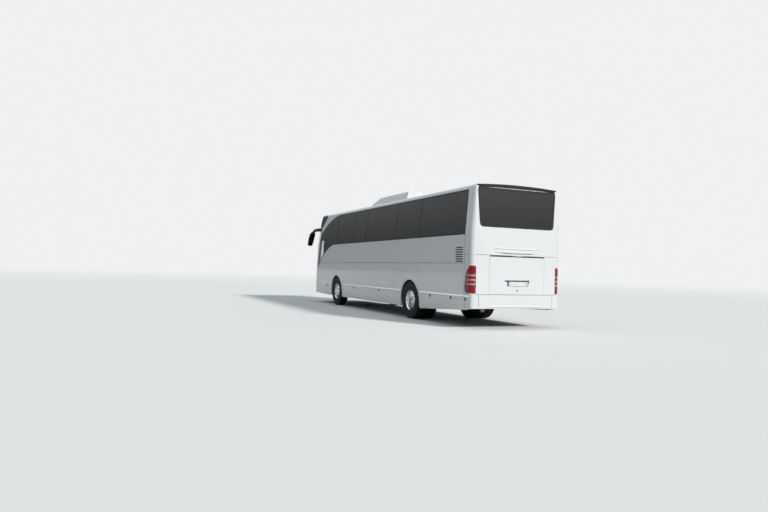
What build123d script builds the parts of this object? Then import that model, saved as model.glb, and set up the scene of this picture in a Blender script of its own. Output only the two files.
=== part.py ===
"""Two-axle high-deck touring coach, in millimetres.

+X is the coach's left side, +Y points to its rear, +Z is up. The wheels stand on Z = 0, and the origin is
under the middle of the box around the whole vehicle, mirrors included.
"""
import os

from build123d import *

os.makedirs("parts", exist_ok=True)

# Overall sizes
body_length = 12140.0
body_width = 2550.0
roof_height = 3460.0
front_overhang = 2790.0
wheelbase = 6080.0
mirror_reach = 420.0
mirror_spread = 180.0

# Heights above the road
skirt_height = 330.0
front_skirt_height = 370.0
tail_skirt_height = 490.0
crease_height = 760.0
waist_height = 1550.0
belt_height = 2230.0
glass_top_height = 3310.0
bumper_seam_height = 820.0
screen_foot_height = 1340.0
dome_seam_height = 2960.0
platform_height = 900.0
cabin_floor_height = 1400.0
bay_floor_height = 400.0
tail_seam_height = 1755.0

# Walls, gaps and glass
wall = 50.0
glass_thickness = 10.0
glass_joint = 8.0
post_width = 120.0
seat_gap = 0.3
panel_gap = 6.0
running_gap = 8.0
hinge_strip = 1.0
hinge_drop = 2.6
skin_clearance = 5.0
overlap = 1.0
overshoot = 100.0

# Cross-section, side view and plan of the body
skirt_slope = 0.048
crease_tuck = 13.0
crease_rise = 200.0
tumblehome = 85.0
crown_drop = 50.0
cove_radius = 90.0
nose_foot_tuck = 30.0
nose_foot_drop = 100.0
roof_front_drop = 60.0
roof_front_length = 2400.0
side_view_rise = 15.0
plan_margin = 3.0
tail_rake = 75.0
lid_top_tuck = 20.0
tail_foot_tuck = 12.0
tail_corner_drop = 50.0
tail_edge_radius = 60.0
nose_bow = 230.0
nose_corner_radius = 330.0
tail_bow = 50.0
tail_corner_radius = 110.0

# How the nose leans back above the windscreen's foot, as (share of the way to the roof, middle, sides)
NOSE_LEAN = [
    (0.0, 0.0, 0.0),
    (0.170, 30.0, 10.0),
    (0.311, 65.0, 25.0),
    (0.453, 110.0, 48.0),
    (0.594, 170.0, 85.0),
    (0.689, 218.0, 118.0),
    (0.764, 262.0, 150.0),
    (0.830, 310.0, 185.0),
    (0.882, 360.0, 222.0),
    (0.920, 412.0, 262.0),
    (0.948, 475.0, 315.0),
    (0.969, 550.0, 385.0),
    (0.984, 640.0, 470.0),
    (0.996, 760.0, 590.0),
    (1.010, 960.0, 780.0),
]

# Side view of the glass band and the roof's forward arms, as (behind the front, height)
pillar_foot_at = (570.0, 1375.0)
pillar_top_at = (840.0, 2690.0)
band_middle_at = (1750.0, 3105.0)
band_top_behind_front = 2900.0
sweep_middle_at = (1420.0, 1960.0)
sweep_start_behind_front = 2330.0
arm_tip_at = (778.0, 2860.0)
arm_shoulder_at = (1410.0, 3290.0)
pane_joints = (2750.0, 4430.0, 5560.0, 7870.0, 9410.0)

# Wheels and axles
tyre_radius = 520.0
tyre_width = 295.0
tyre_shoulder = 45.0
tyre_side_clearance = 18.0
rim_radius = 288.0
rim_wall = 16.0
rim_width = 236.0
disc_offset = 140.0
disc_thickness = 18.0
hub_radius = 130.0
hub_depth = 70.0
rear_hub_radius = 105.0
rear_hub_reach = 30.0
twin_pitch = 335.0
kingpin_inset = 90.0
kingpin_radius = 20.0
kingpin_eye_radius = 48.0
kingpin_eye_half = 80.0
kingpin_block_length = 150.0
beam_end_inset = 60.0
knuckle_lug = 48.0
knuckle_web = 36.0
spindle_radius = 42.0
spin_gap = 0.05
beam_size = 110.0
beam_drop = 110.0
arch_radius = 612.0
arch_centre_height = 505.0
housing_radius = 105.0
housing_end_inset = 200.0
differential_radius = 230.0
differential_length = 260.0
pinion_set_forward = 220.0
pinion_radii = (90.0, 150.0)
spring_seat_half = 90.0
spring_seat_rise = 20.0
spring_foot_half = 60.0
spring_foot_drop = 15.0
air_spring_radius = 130.0
disc_flange = 40.0
disc_rim_places = (70.0, 40.0)
spindle_end_gap = 2.0

# Side seams
front_flap_start = 660.0
rear_arch_lead = 1070.0
rear_arch_tail = 550.0
corner_seam_inset = 350.0
front_seam_inset = 560.0
left_flap_count = 3
right_flap_count = 2
service_flap_count = 2

# Doors on the right side
front_door_behind_front = 830.0
front_door_width = 1200.0
front_door_top = 2590.0
middle_door_width = 870.0
middle_door_top = 2190.0
door_frame = 90.0
front_window_sill = 1150.0
middle_window_sill = 1640.0

# Front and rear faces
headlamp_inner_x = 720.0
headlamp_outer_x = 1150.0
headlamp_low = 850.0
headlamp_high = 1060.0
rear_window_top = 3340.0
rear_window_bottom = 2450.0
rear_window_half_top = 1100.0
rear_window_half_bottom = 1030.0
rear_window_corner = 100.0
top_strip_height = 3378.0
lid_half_width = 790.0
lid_top_height = 1745.0
lid_hinge_half = 120.0
lamp_top_height = 1490.0
lamp_bottom_height = 870.0
lamp_inner_x = 1145.0
lamp_depth = 30.0
lamp_top_lead = 130.0
lamp_bow_lead = 290.0
lamp_bow_height = 1180.0
lamp_side_lead = 340.0
lamp_side_rise = 120.0
lamp_foot_lead = 260.0
louvre_lead = 770.0
louvre_length = 340.0
louvre_low_height = 1575.0
louvre_pitch = 56.0
louvre_slot_height = 32.0
louvre_slot_count = 7
louvre_depth = 18.0
socket_x = 600.0
socket_height = 640.0
socket_radius = 18.5
socket_boss_radius = 42.0
socket_length = 90.0
socket_set_back = 85.0
recess_half_top = 360.0
recess_half_bottom = 310.0
recess_top_height = 1165.0
recess_bottom_height = 1010.0
recess_depth = 22.0

# Roof equipment
ac_length = 2700.0
ac_width = 1780.0
ac_height = 250.0
ac_behind_front = 5070.0
ac_front_slope = 450.0
ac_rear_slope = 170.0
ac_side_slope = 130.0
ac_root = 100.0
ac_front_rise = 20.0
ac_rear_rise = 60.0
ac_side_rise = 40.0
hatches_behind_front = (2950.0, 8980.0)
hatch_length = 640.0
hatch_width = 760.0
hatch_height = 75.0
hatch_sink = 50.0
hatch_bevel = 30.0

# Cabin
seat_pitch = 790.0
seat_rows = 11
first_row_behind_axle = 50.0
seat_pair_width = 940.0
aisle_half_width = 210.0
driver_seat_behind_door = 280.0
rack_front_inset = 300.0
rack_rear_inset = 200.0
rack_depth = 360.0
rack_low_height = 2980.0
rack_high_height = 3120.0
steering_wheel_radius = 225.0
steering_grip_radius = 16.0
steering_spoke_width = 50.0
steering_spoke_thickness = 20.0
steering_column_radius = 45.0
steering_column_length = 420.0
steering_behind_front = 760.0
steering_above_platform = 700.0
driver_x = 620.0
driver_seat_width = 500.0
# Side views, as (behind the front edge, above the floor) and (behind the front, above the platform)
SEAT_PROFILE = [
    (0.0, 0.0),
    (60.0, 0.0),
    (60.0, 330.0),
    (420.0, 330.0),
    (420.0, 0.0),
    (470.0, 0.0),
    (520.0, 430.0),
    (640.0, 1060.0),
    (560.0, 1090.0),
    (430.0, 470.0),
    (0.0, 470.0),
]
DASHBOARD_PROFILE = [
    (0.0, 0.0),
    (560.0, 0.0),
    (620.0, 420.0),
    (480.0, 560.0),
    (0.0, 440.0),
]
dashboard_end_x = 330.0
dashboard_end_behind_front = (450.0, 700.0)

# Mirrors, as (out from the middle, behind the front, height)
MIRROR_ARM = [
    (1090.0, 540.0, 2868.0),
    (1205.0, 250.0, 2872.0),
    (1222.0, -110.0, 2865.0),
    (1250.0, -345.0, 2735.0),
]
# height, out from the middle, width, depth
MIRROR_SECTIONS = [
    (2800.0, 1238.0, 150.0, 96.0),
    (2740.0, 1254.0, 206.0, 134.0),
    (2640.0, 1282.0, 236.0, 150.0),
    (2470.0, 1318.0, 226.0, 144.0),
    (2300.0, 1350.0, 206.0, 120.0),
    (2240.0, 1357.0, 170.0, 86.0),
]
mirror_head_depth = 150.0
mirror_corner_share = 0.45
mirror_arm_radius = 68.0
mirror_arm_bend = 90.0

# Underframe
house_inner_x = 560.0
sheet = 40.0
rail_x = 420.0
rail_width = 80.0
rail_front_inset = 300.0
rail_rear_inset = 400.0
rail_riser_length = 80.0
middle_tread = 200.0
front_tread = 240.0
stair_side_gap = 10.0

# Engine and exhaust, whose lengths are shares of the room behind the rear wheels
engine_share = 0.37
engine_tail_gap = 420.0
engine_low_height = 560.0
engine_high_height = 1300.0
silencer_share = 0.21
silencer_width = 440.0
silencer_overlap = 20.0
silencer_rise = 40.0
tailpipe_radius = 55.0
tailpipe_out = 300.0
tailpipe_rise = 130.0
tailpipe_bend_lead = 450.0
tailpipe_bend_radius = 100.0
tailpipe_end_lead = 250.0
tailpipe_end_out = 380.0
tailpipe_end_drop = 60.0

# Places worked out from the sizes above
half_width = body_width / 2
front_y = (mirror_reach - body_length) / 2
rear_y = front_y + body_length
ahead_y = front_y - wall
behind_y = rear_y + wall
front_axle_y = front_y + front_overhang
rear_axle_y = front_axle_y + wheelbase
corner_seam_y = rear_y - corner_seam_inset
front_seam_y = front_y + front_seam_inset
flap_start_y = front_axle_y + front_flap_start
flap_end_y = rear_axle_y - rear_arch_lead
service_start_y = rear_axle_y + rear_arch_tail
front_door_y = front_y + front_door_behind_front
front_door_end_y = front_door_y + front_door_width
middle_door_y = flap_end_y - middle_door_width
wheel_x = half_width - tyre_side_clearance - tyre_width / 2
twin_x = wheel_x - twin_pitch
kingpin_x = wheel_x - kingpin_inset
socket_mouth_y = front_y + socket_set_back
ac_top_height = roof_height + ac_height
tail_room_y = service_start_y + 3 * sheet
tail_room = rear_y - tail_room_y
reach = body_length
wide = body_width
tall = 2 * roof_height


def behind_front(place):
    """Turn (distance behind the front, height) into (y, z)."""
    return (front_y + place[0], place[1])


pillar_foot = behind_front(pillar_foot_at)
pillar_top = behind_front(pillar_top_at)
band_middle = behind_front(band_middle_at)
sweep_middle = behind_front(sweep_middle_at)
arm_tip = behind_front(arm_tip_at)
arm_shoulder = behind_front(arm_shoulder_at)
band_top = (front_y + band_top_behind_front, glass_top_height)
sweep_start = (front_y + sweep_start_behind_front, belt_height)
pane_edges = [front_y + joint for joint in pane_joints]

SIDES = [(1, "left"), (-1, "right")]


def block(low, high, mode=Mode.ADD):
    """Box between two corners, in the active part."""
    middle = tuple((a + b) / 2 for a, b in zip(low, high))
    with Locations(middle):
        Box(*(b - a for a, b in zip(low, high)), mode=mode)


def side_block(sign, x_low, x_high, y_low, y_high, z_low, z_high, mode=Mode.ADD):
    """Box given by distances from the middle plane, on the left (+1) or right (-1) side."""
    near, far = sorted((sign * x_low, sign * x_high))
    block((near, y_low, z_low), (far, y_high, z_high), mode)


def bar_along_x(x_low, x_high, y, z, radius, mode=Mode.ADD):
    """Round bar between two X places, in the active part."""
    with Locations(Location(((x_low + x_high) / 2, y, z), (0, 90, 0))):
        Cylinder(radius, abs(x_high - x_low), mode=mode)


def bar_along_y(x, y_low, y_high, z, radius, mode=Mode.ADD):
    """Round bar between two Y places, in the active part."""
    with Locations(Location((x, (y_low + y_high) / 2, z), (90, 0, 0))):
        Cylinder(radius, y_high - y_low, mode=mode)


def post_along_z(x, y, z_low, z_high, radius, mode=Mode.ADD):
    """Round post between two heights, in the active part."""
    with Locations((x, y, (z_low + z_high) / 2)):
        Cylinder(radius, z_high - z_low, mode=mode)


def panel(low, high, mode=Mode.ADD):
    """Rectangle between two corners, in the active sketch."""
    with Locations(((low[0] + high[0]) / 2, (low[1] + high[1]) / 2)):
        Rectangle(high[0] - low[0], high[1] - low[1], mode=mode)


def keep_side(sign):
    """Keep only the left (+1) or right (-1) half of the active part."""
    side_block(sign, 0.0, wide, -reach, reach, -roof_height, tall, Mode.INTERSECT)


def pull_in(amount):
    """Pull the active sketch in by an even amount; a negative amount grows it."""
    if amount:
        offset(amount=-amount, kind=Kind.INTERSECTION, mode=Mode.REPLACE)


def area(path, shrink):
    """Add the face inside a closed path to the active sketch, pulled in by `shrink`."""
    face = make_face(path.edges(), mode=Mode.PRIVATE)
    if shrink:
        face = offset(face, amount=-shrink, kind=Kind.INTERSECTION, mode=Mode.PRIVATE)
    add(face)


def save(piece, name):
    """Label the finished piece and write it to its own file."""
    piece.part.label = name
    export_step(piece.part, f"parts/{name}.step")


def plan_outline(middle_lean, side_lean, side_x, inset):
    """Plan of the body with its bowed, round-cornered nose leaning back, in the active sketch."""
    nose_y = front_y + nose_bow + side_lean
    tail_y = rear_y - tail_bow
    with BuildLine() as path:
        ThreePointArc((-side_x, nose_y), (0, front_y + middle_lean), (side_x, nose_y))
        Line((side_x, nose_y), (side_x, tail_y))
        ThreePointArc((side_x, tail_y), (0, rear_y), (-side_x, tail_y))
        Line((-side_x, tail_y), (-side_x, nose_y))
    face = make_face(path.edges(), mode=Mode.PRIVATE).face()
    face = face.fillet_2d(nose_corner_radius, face.vertices().sort_by(Axis.Y)[:2])
    face = face.fillet_2d(tail_corner_radius, face.vertices().sort_by(Axis.Y)[-2:])
    if inset:
        face = offset(face, amount=-inset, kind=Kind.INTERSECTION, mode=Mode.PRIVATE)
    add(face)


def plan_form(inset):
    """Plan of the body carried up past the roof, pulled in by an even inset."""
    lean_in = tumblehome / (roof_height - crown_drop - belt_height)
    with BuildPart() as form:
        with BuildSketch(Plane.XY.offset(-tall)):
            plan_outline(0.0, 0.0, half_width + plan_margin, inset)
        for share, middle_lean, side_lean in NOSE_LEAN:
            height = screen_foot_height + share * (roof_height - screen_foot_height)
            side_x = half_width + plan_margin - lean_in * max(0.0, height - belt_height)
            with BuildSketch(Plane.XY.offset(height)):
                plan_outline(middle_lean, side_lean, side_x, inset)
        loft(ruled=True)
    return form.part


def hull(inset, open_below=False):
    """Body form pulled in by an even inset: cross-section, side view and plan met together.

    With open_below it runs on far below the skirts, so that what it cuts has no bottom.
    """
    drop = roof_height if open_below else 0.0
    foot = skirt_height - wall - drop
    foot_x = half_width - crease_tuck - skirt_slope * (crease_height - foot)
    eaves = (half_width - tumblehome, roof_height - crown_drop)
    with BuildPart() as form:
        with BuildSketch(Plane.XZ) as section:
            with BuildLine():
                Polyline(
                    (-eaves[0], eaves[1]),
                    (-half_width, belt_height),
                    (-half_width, crease_height + crease_rise),
                    (-half_width + crease_tuck, crease_height),
                    (-foot_x, foot),
                    (foot_x, foot),
                    (half_width - crease_tuck, crease_height),
                    (half_width, crease_height + crease_rise),
                    (half_width, belt_height),
                    eaves,
                )
                ThreePointArc(eaves, (0, roof_height), (-eaves[0], eaves[1]))
            make_face()
            fillet(section.vertices().sort_by(Axis.Y)[-2:], cove_radius)
            pull_in(inset)
        extrude(amount=reach, both=True)
        with BuildSketch(Plane.YZ) as side:
            with BuildLine():
                Polyline(
                    (front_y + nose_foot_tuck, front_skirt_height - drop),
                    (front_y, bumper_seam_height - nose_foot_drop),
                    (front_y, roof_height - roof_front_drop),
                    (front_y + roof_front_length, roof_height + side_view_rise),
                    (rear_y - tail_rake, roof_height + side_view_rise),
                    (rear_y - lid_top_tuck, lid_top_height),
                    (rear_y, bumper_seam_height),
                    (rear_y - tail_foot_tuck, tail_skirt_height - drop),
                    (corner_seam_y, tail_skirt_height - tail_corner_drop - drop),
                    (rear_axle_y + arch_radius, skirt_height - drop),
                    (front_axle_y, skirt_height - drop),
                    close=True,
                )
            make_face()
            fillet(side.vertices().sort_by(Axis.Y)[-2:].sort_by(Axis.X)[-1], tail_edge_radius)
            pull_in(inset)
        extrude(amount=wide, both=True, mode=Mode.INTERSECT)
        add(plan_form(inset), mode=Mode.INTERSECT)
    return form.part


outer_hull = hull(0.0)
skin_hull = hull(-skin_clearance)
seat_hull = hull(-seat_gap)
glass_hull = hull(glass_thickness)
pocket_hull = hull(glass_thickness + seat_gap)
lamp_hull = hull(lamp_depth)
lamp_seat_hull = hull(lamp_depth + seat_gap)
inner_hull = hull(wall, open_below=True)
cabin_hull = hull(wall + seat_gap, open_below=True)
bay_hull = hull(wall + running_gap, open_below=True)


def band_outline(shrink):
    """Outline of the side glass band in side view."""
    with BuildLine() as path:
        Polyline(sweep_start, (corner_seam_y, belt_height), (corner_seam_y, glass_top_height), band_top)
        ThreePointArc(band_top, band_middle, pillar_top)
        Line(pillar_top, pillar_foot)
        ThreePointArc(pillar_foot, sweep_middle, sweep_start)
    area(path, shrink)


def polygon(points, shrink=0.0):
    """Closed outline through points, in the active sketch."""
    with BuildLine() as path:
        Polyline(*points, close=True)
    area(path, shrink)


dome_seam_y = arm_tip[0] + (arm_shoulder[0] - arm_tip[0]) * (dome_seam_height - arm_tip[1]) / (
    arm_shoulder[1] - arm_tip[1])
dome_points = [
    (ahead_y, dome_seam_height),
    (dome_seam_y, dome_seam_height),
    arm_shoulder,
    (arm_shoulder[0] - overshoot, roof_height + overshoot),
    (ahead_y, roof_height + overshoot),
]
screen_points = [
    (ahead_y, screen_foot_height),
    (pillar_foot[0], screen_foot_height),
    pillar_foot,
    pillar_top,
    arm_tip,
    (dome_seam_y, dome_seam_height),
    (ahead_y, dome_seam_height),
]

# The wall ring, the skin of glass, and what panels and panes are cut with
with BuildPart() as wall_ring:
    add(outer_hull)
    add(inner_hull, mode=Mode.SUBTRACT)

with BuildPart() as glass_skin:
    add(outer_hull)
    add(glass_hull, mode=Mode.SUBTRACT)

with BuildPart() as side_rebate:
    add(skin_hull)
    add(pocket_hull, mode=Mode.SUBTRACT)
    with BuildSketch(Plane.YZ):
        band_outline(0.0)
    extrude(amount=wide, both=True, mode=Mode.INTERSECT)

with BuildPart() as window_openings:
    with BuildSketch(Plane.YZ):
        band_outline(post_width / 2)
        with Locations(*((edge, belt_height) for edge in pane_edges)):
            Rectangle(post_width, tall, mode=Mode.SUBTRACT)
    extrude(amount=wide, both=True)

with BuildPart() as arch_cut:
    for axle_y in (front_axle_y, rear_axle_y):
        bar_along_x(-wide, wide, axle_y, arch_centre_height, arch_radius)

with BuildPart() as front_door_cut:
    with BuildSketch(Plane.YZ):
        panel((front_door_y - seat_gap, 0.0), (front_door_end_y + seat_gap, front_door_top + seat_gap))
    extrude(amount=-wide)

with BuildPart() as middle_door_cut:
    with BuildSketch(Plane.YZ):
        panel((middle_door_y - seat_gap, 0.0), (flap_end_y + seat_gap, middle_door_top + seat_gap))
    extrude(amount=-wide)

# Y ranges of the flaps on each side: low, high, count, name
FLAP_ROWS = {
    1: [
        (flap_start_y, flap_end_y, left_flap_count, "luggage_flap"),
        (service_start_y, corner_seam_y, service_flap_count, "service_flap"),
    ],
    -1: [
        (flap_start_y, middle_door_y, right_flap_count, "luggage_flap"),
        (service_start_y, corner_seam_y, service_flap_count, "service_flap"),
    ],
}

# Side walls: a waist panel, the posts behind the glass, and a hinge strip over each row of flaps
with BuildPart() as side_walls:
    add(wall_ring.part)
    with BuildSketch(Plane.YZ):
        band_outline(seat_gap / 2)
        panel((pillar_top[0], waist_height + panel_gap / 2), (corner_seam_y - seat_gap / 2, belt_height + overlap))
    extrude(amount=wide, both=True, mode=Mode.INTERSECT)
    add(side_rebate.part, mode=Mode.SUBTRACT)
    add(window_openings.part, mode=Mode.SUBTRACT)

for sign, name in SIDES:
    with BuildPart() as side_wall:
        add(side_walls.part)
        keep_side(sign)
        if sign < 0:
            add(front_door_cut.part, mode=Mode.SUBTRACT)
            add(middle_door_cut.part, mode=Mode.SUBTRACT)
        for y_low, y_high, _, _ in FLAP_ROWS[sign]:
            side_block(sign, half_width - hinge_strip, half_width, y_low + panel_gap, y_high - panel_gap,
                       waist_height - hinge_drop, waist_height + panel_gap)
        # air outlet: slots let into the panel
        for slot in range(louvre_slot_count):
            slot_z = louvre_low_height + slot * louvre_pitch
            side_block(sign, half_width - louvre_depth, wide, rear_y - louvre_lead,
                       rear_y - louvre_lead + louvre_length, slot_z, slot_z + louvre_slot_height, Mode.SUBTRACT)
    save(side_wall, f"side_wall_{name}")

with BuildPart() as side_glass:
    add(glass_skin.part)
    with BuildSketch(Plane.YZ):
        band_outline(seat_gap)
        with Locations(*((edge, belt_height) for edge in pane_edges)):
            Rectangle(glass_joint, tall, mode=Mode.SUBTRACT)
    extrude(amount=wide, both=True, mode=Mode.INTERSECT)
    add(front_door_cut.part, mode=Mode.SUBTRACT)
save(side_glass, "side_glass")

# Fixed lower panels around the arches: side, y low, y high
fixed_top = waist_height + panel_gap / 2 - seat_gap
FIXED_PANELS = [
    (1, front_seam_y + seat_gap, flap_start_y),
    (-1, front_seam_y + seat_gap, front_door_y - seat_gap),
    (-1, front_door_end_y + seat_gap, flap_start_y),
    (1, flap_end_y, service_start_y),
    (-1, flap_end_y + seat_gap, service_start_y),
]
with BuildPart() as arch_panels:
    for sign, y_low, y_high in FIXED_PANELS:
        side_block(sign, half_width / 2, wide, y_low, y_high, 0.0, fixed_top)
    add(wall_ring.part, mode=Mode.INTERSECT)
    add(arch_cut.part, mode=Mode.SUBTRACT)
    with BuildSketch(Plane.YZ):
        band_outline(-seat_gap)
        polygon(screen_points, -seat_gap)
    extrude(amount=wide, both=True, mode=Mode.SUBTRACT)
save(arch_panels, "arch_panels")

# Luggage and service flaps, hung from the waist seam
for sign, name in SIDES:
    for y_low, y_high, count, kind in FLAP_ROWS[sign]:
        pitch = (y_high - y_low) / count
        for index in range(count):
            flap_low = y_low + index * pitch + (panel_gap if index == 0 else panel_gap / 2)
            flap_high = y_low + (index + 1) * pitch - (panel_gap if index == count - 1 else panel_gap / 2)
            with BuildPart() as flap:
                add(wall_ring.part)
                with BuildSketch(Plane.YZ):
                    panel((flap_low, 0.0), (flap_high, waist_height - panel_gap / 2))
                extrude(amount=wide, both=True, mode=Mode.INTERSECT)
                keep_side(sign)
                add(arch_cut.part, mode=Mode.SUBTRACT)
            save(flap, f"{kind}_{name}_{index + 1}")

# Doors on the right side: a frame with its window cut, and the glass in both
DOORS = [
    # name, y low, y high, top, window sill
    ("front_door", front_door_y, front_door_end_y, front_door_top, front_window_sill),
    ("middle_door", middle_door_y, flap_end_y, middle_door_top, middle_window_sill),
]
for name, y_low, y_high, top, sill in DOORS:
    with BuildPart() as door:
        add(wall_ring.part)
        with BuildSketch(Plane.YZ):
            panel((y_low, 0.0), (y_high, top))
            panel((y_low + door_frame, sill), (y_high - door_frame, top - door_frame), Mode.SUBTRACT)
        extrude(amount=-wide, mode=Mode.INTERSECT)
    save(door, name)

with BuildPart() as door_glass:
    add(glass_skin.part)
    edge = door_frame + seat_gap
    with BuildSketch(Plane.YZ):
        for _, y_low, y_high, top, sill in DOORS:
            panel((y_low + edge, sill + seat_gap), (y_high - edge, top - edge))
    extrude(amount=-wide, mode=Mode.INTERSECT)
save(door_glass, "door_glass")

# Roof with its arms, and the dark dome and windscreen ahead of them
with BuildPart() as roof:
    add(wall_ring.part)
    block((-wide, ahead_y, pillar_top[1]), (wide, corner_seam_y - seat_gap / 2, tall), Mode.INTERSECT)
    with BuildSketch(Plane.YZ):
        band_outline(-seat_gap)
        polygon(screen_points, -seat_gap)
        polygon(dome_points, -seat_gap)
    extrude(amount=wide, both=True, mode=Mode.SUBTRACT)
save(roof, "roof")

with BuildPart() as front_dome:
    add(wall_ring.part)
    with BuildSketch(Plane.YZ):
        polygon(dome_points, seat_gap / 2)
    extrude(amount=wide, both=True, mode=Mode.INTERSECT)
save(front_dome, "front_dome")

with BuildPart() as windscreen:
    add(glass_skin.part)
    with BuildSketch(Plane.YZ):
        polygon(screen_points, seat_gap / 2)
    extrude(amount=wide, both=True, mode=Mode.INTERSECT)
save(windscreen, "windscreen")

# Front face below the windscreen: a mask with the headlamps let in, and the bumper
with BuildPart() as front_mask:
    add(wall_ring.part)
    block((-wide, ahead_y, bumper_seam_height + seat_gap / 2), (wide, front_seam_y, tall), Mode.INTERSECT)
    block((-wide, ahead_y, pillar_foot[1]), (wide, front_seam_y, tall), Mode.SUBTRACT)
    with BuildSketch(Plane.YZ):
        polygon(screen_points, -seat_gap / 2)
        band_outline(-seat_gap)
    extrude(amount=wide, both=True, mode=Mode.SUBTRACT)
    for sign, _ in SIDES:
        side_block(sign, headlamp_inner_x, headlamp_outer_x, ahead_y, front_seam_y, headlamp_low, headlamp_high,
                   Mode.SUBTRACT)
save(front_mask, "front_mask")

with BuildPart() as headlamps:
    for sign, _ in SIDES:
        side_block(sign, headlamp_inner_x + seat_gap, headlamp_outer_x - seat_gap, ahead_y, front_seam_y,
                   headlamp_low + seat_gap, headlamp_high - seat_gap)
    add(wall_ring.part, mode=Mode.INTERSECT)
save(headlamps, "headlamps")

with BuildPart() as front_bumper:
    add(wall_ring.part)
    block((-wide, ahead_y, 0.0), (wide, front_seam_y, bumper_seam_height - seat_gap / 2), Mode.INTERSECT)
    # towing eye's socket, at the bottom of a round pocket
    socket_end_y = socket_mouth_y + socket_length
    bar_along_y(-socket_x, socket_mouth_y, socket_end_y, socket_height, socket_boss_radius)
    bar_along_y(-socket_x, ahead_y, socket_mouth_y, socket_height, socket_boss_radius, Mode.SUBTRACT)
    bar_along_y(-socket_x, ahead_y, socket_end_y + overlap, socket_height, socket_radius, Mode.SUBTRACT)
save(front_bumper, "front_bumper")

# Rear face: wall with its window, black strip over it, corners with lamps, engine lid and bumper


def rear_window_outline(shrink):
    """Rear window with rounded lower corners, in the rear view."""
    with BuildLine() as path:
        FilletPolyline(
            (rear_window_half_top, rear_window_top),
            (rear_window_half_bottom, rear_window_bottom),
            (-rear_window_half_bottom, rear_window_bottom),
            (-rear_window_half_top, rear_window_top),
            radius=rear_window_corner,
            close=True,
        )
    area(path, shrink)


with BuildPart() as rear_rebate:
    add(skin_hull)
    add(pocket_hull, mode=Mode.SUBTRACT)
    with BuildSketch(Plane.XZ):
        rear_window_outline(0.0)
    extrude(amount=-2 * reach, mode=Mode.INTERSECT)

with BuildPart() as rear_opening:
    with BuildSketch(Plane.XZ):
        rear_window_outline(post_width / 2)
    extrude(amount=-2 * reach)

with BuildPart() as rear_wall:
    add(wall_ring.part)
    block((-wide, corner_seam_y + seat_gap / 2, tail_seam_height), (wide, behind_y, top_strip_height), Mode.INTERSECT)
    add(rear_rebate.part, mode=Mode.SUBTRACT)
    add(rear_opening.part, mode=Mode.SUBTRACT)
    tail_hinge_y = rear_y - lid_top_tuck - overlap
    block((-lid_hinge_half, tail_hinge_y - hinge_strip, lid_top_height + panel_gap / 2 - hinge_drop),
          (lid_hinge_half, tail_hinge_y, tail_seam_height + overlap))
save(rear_wall, "rear_wall")

with BuildPart() as rear_window:
    add(glass_skin.part)
    with BuildSketch(Plane.XZ):
        rear_window_outline(seat_gap)
    extrude(amount=-2 * reach, mode=Mode.INTERSECT)
save(rear_window, "rear_window")

with BuildPart() as top_strip:
    add(wall_ring.part)
    block((-wide, corner_seam_y + seat_gap / 2, top_strip_height + seat_gap), (wide, behind_y, tall), Mode.INTERSECT)
save(top_strip, "top_strip")

lamp_points = [
    (rear_y - lamp_top_lead, lamp_top_height),
    (rear_y - lamp_side_lead, lamp_bottom_height + lamp_side_rise),
    (rear_y - lamp_foot_lead, lamp_bottom_height),
    (behind_y, lamp_bottom_height),
    (behind_y, lamp_top_height),
]


def lamp_outline(shrink):
    """Tail lamp in side view: a bowed front edge, widest low down."""
    with BuildLine() as path:
        ThreePointArc(lamp_points[0], (rear_y - lamp_bow_lead, lamp_bow_height), lamp_points[1])
        Polyline(*lamp_points[1:], lamp_points[0])
    area(path, shrink)


with BuildPart() as lamp_pocket:
    add(skin_hull)
    add(lamp_seat_hull, mode=Mode.SUBTRACT)
    with BuildSketch(Plane.YZ):
        lamp_outline(0.0)
    extrude(amount=wide, both=True, mode=Mode.INTERSECT)
    block((-lamp_inner_x, 0.0, 0.0), (lamp_inner_x, behind_y, tall), Mode.SUBTRACT)

with BuildPart() as tail_lamps:
    add(outer_hull)
    add(lamp_hull, mode=Mode.SUBTRACT)
    with BuildSketch(Plane.YZ):
        lamp_outline(seat_gap)
    extrude(amount=wide, both=True, mode=Mode.INTERSECT)
    block((-lamp_inner_x - seat_gap, 0.0, 0.0), (lamp_inner_x + seat_gap, behind_y, tall), Mode.SUBTRACT)
save(tail_lamps, "tail_lamps")

with BuildPart() as rear_corners:
    for sign, _ in SIDES:
        side_block(sign, lid_half_width + panel_gap, wide, corner_seam_y + seat_gap / 2, behind_y,
                   bumper_seam_height + seat_gap / 2, tail_seam_height - seat_gap)
    add(wall_ring.part, mode=Mode.INTERSECT)
    add(lamp_pocket.part, mode=Mode.SUBTRACT)
save(rear_corners, "rear_corners")

recess_floor_y = rear_y - lid_top_tuck - recess_depth
with BuildPart() as plate_recess:
    with BuildSketch(Plane.XZ.offset(-recess_floor_y)):
        polygon([
            (-recess_half_top, recess_top_height),
            (recess_half_top, recess_top_height),
            (recess_half_bottom, recess_bottom_height),
            (-recess_half_bottom, recess_bottom_height),
        ])
    extrude(amount=-reach)

with BuildPart() as engine_lid:
    add(wall_ring.part)
    block((-lid_half_width, corner_seam_y, bumper_seam_height + panel_gap),
          (lid_half_width, behind_y, lid_top_height), Mode.INTERSECT)
    add(plate_recess.part, mode=Mode.SUBTRACT)
save(engine_lid, "engine_lid")

with BuildPart() as rear_bumper:
    add(wall_ring.part)
    block((-wide, corner_seam_y + seat_gap / 2, 0.0), (wide, behind_y, bumper_seam_height - seat_gap / 2),
          Mode.INTERSECT)
save(rear_bumper, "rear_bumper")

# Underframe: floors, bulkheads, wheel boxes, rails and steps
front_box_y = front_axle_y - front_flap_start


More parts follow.
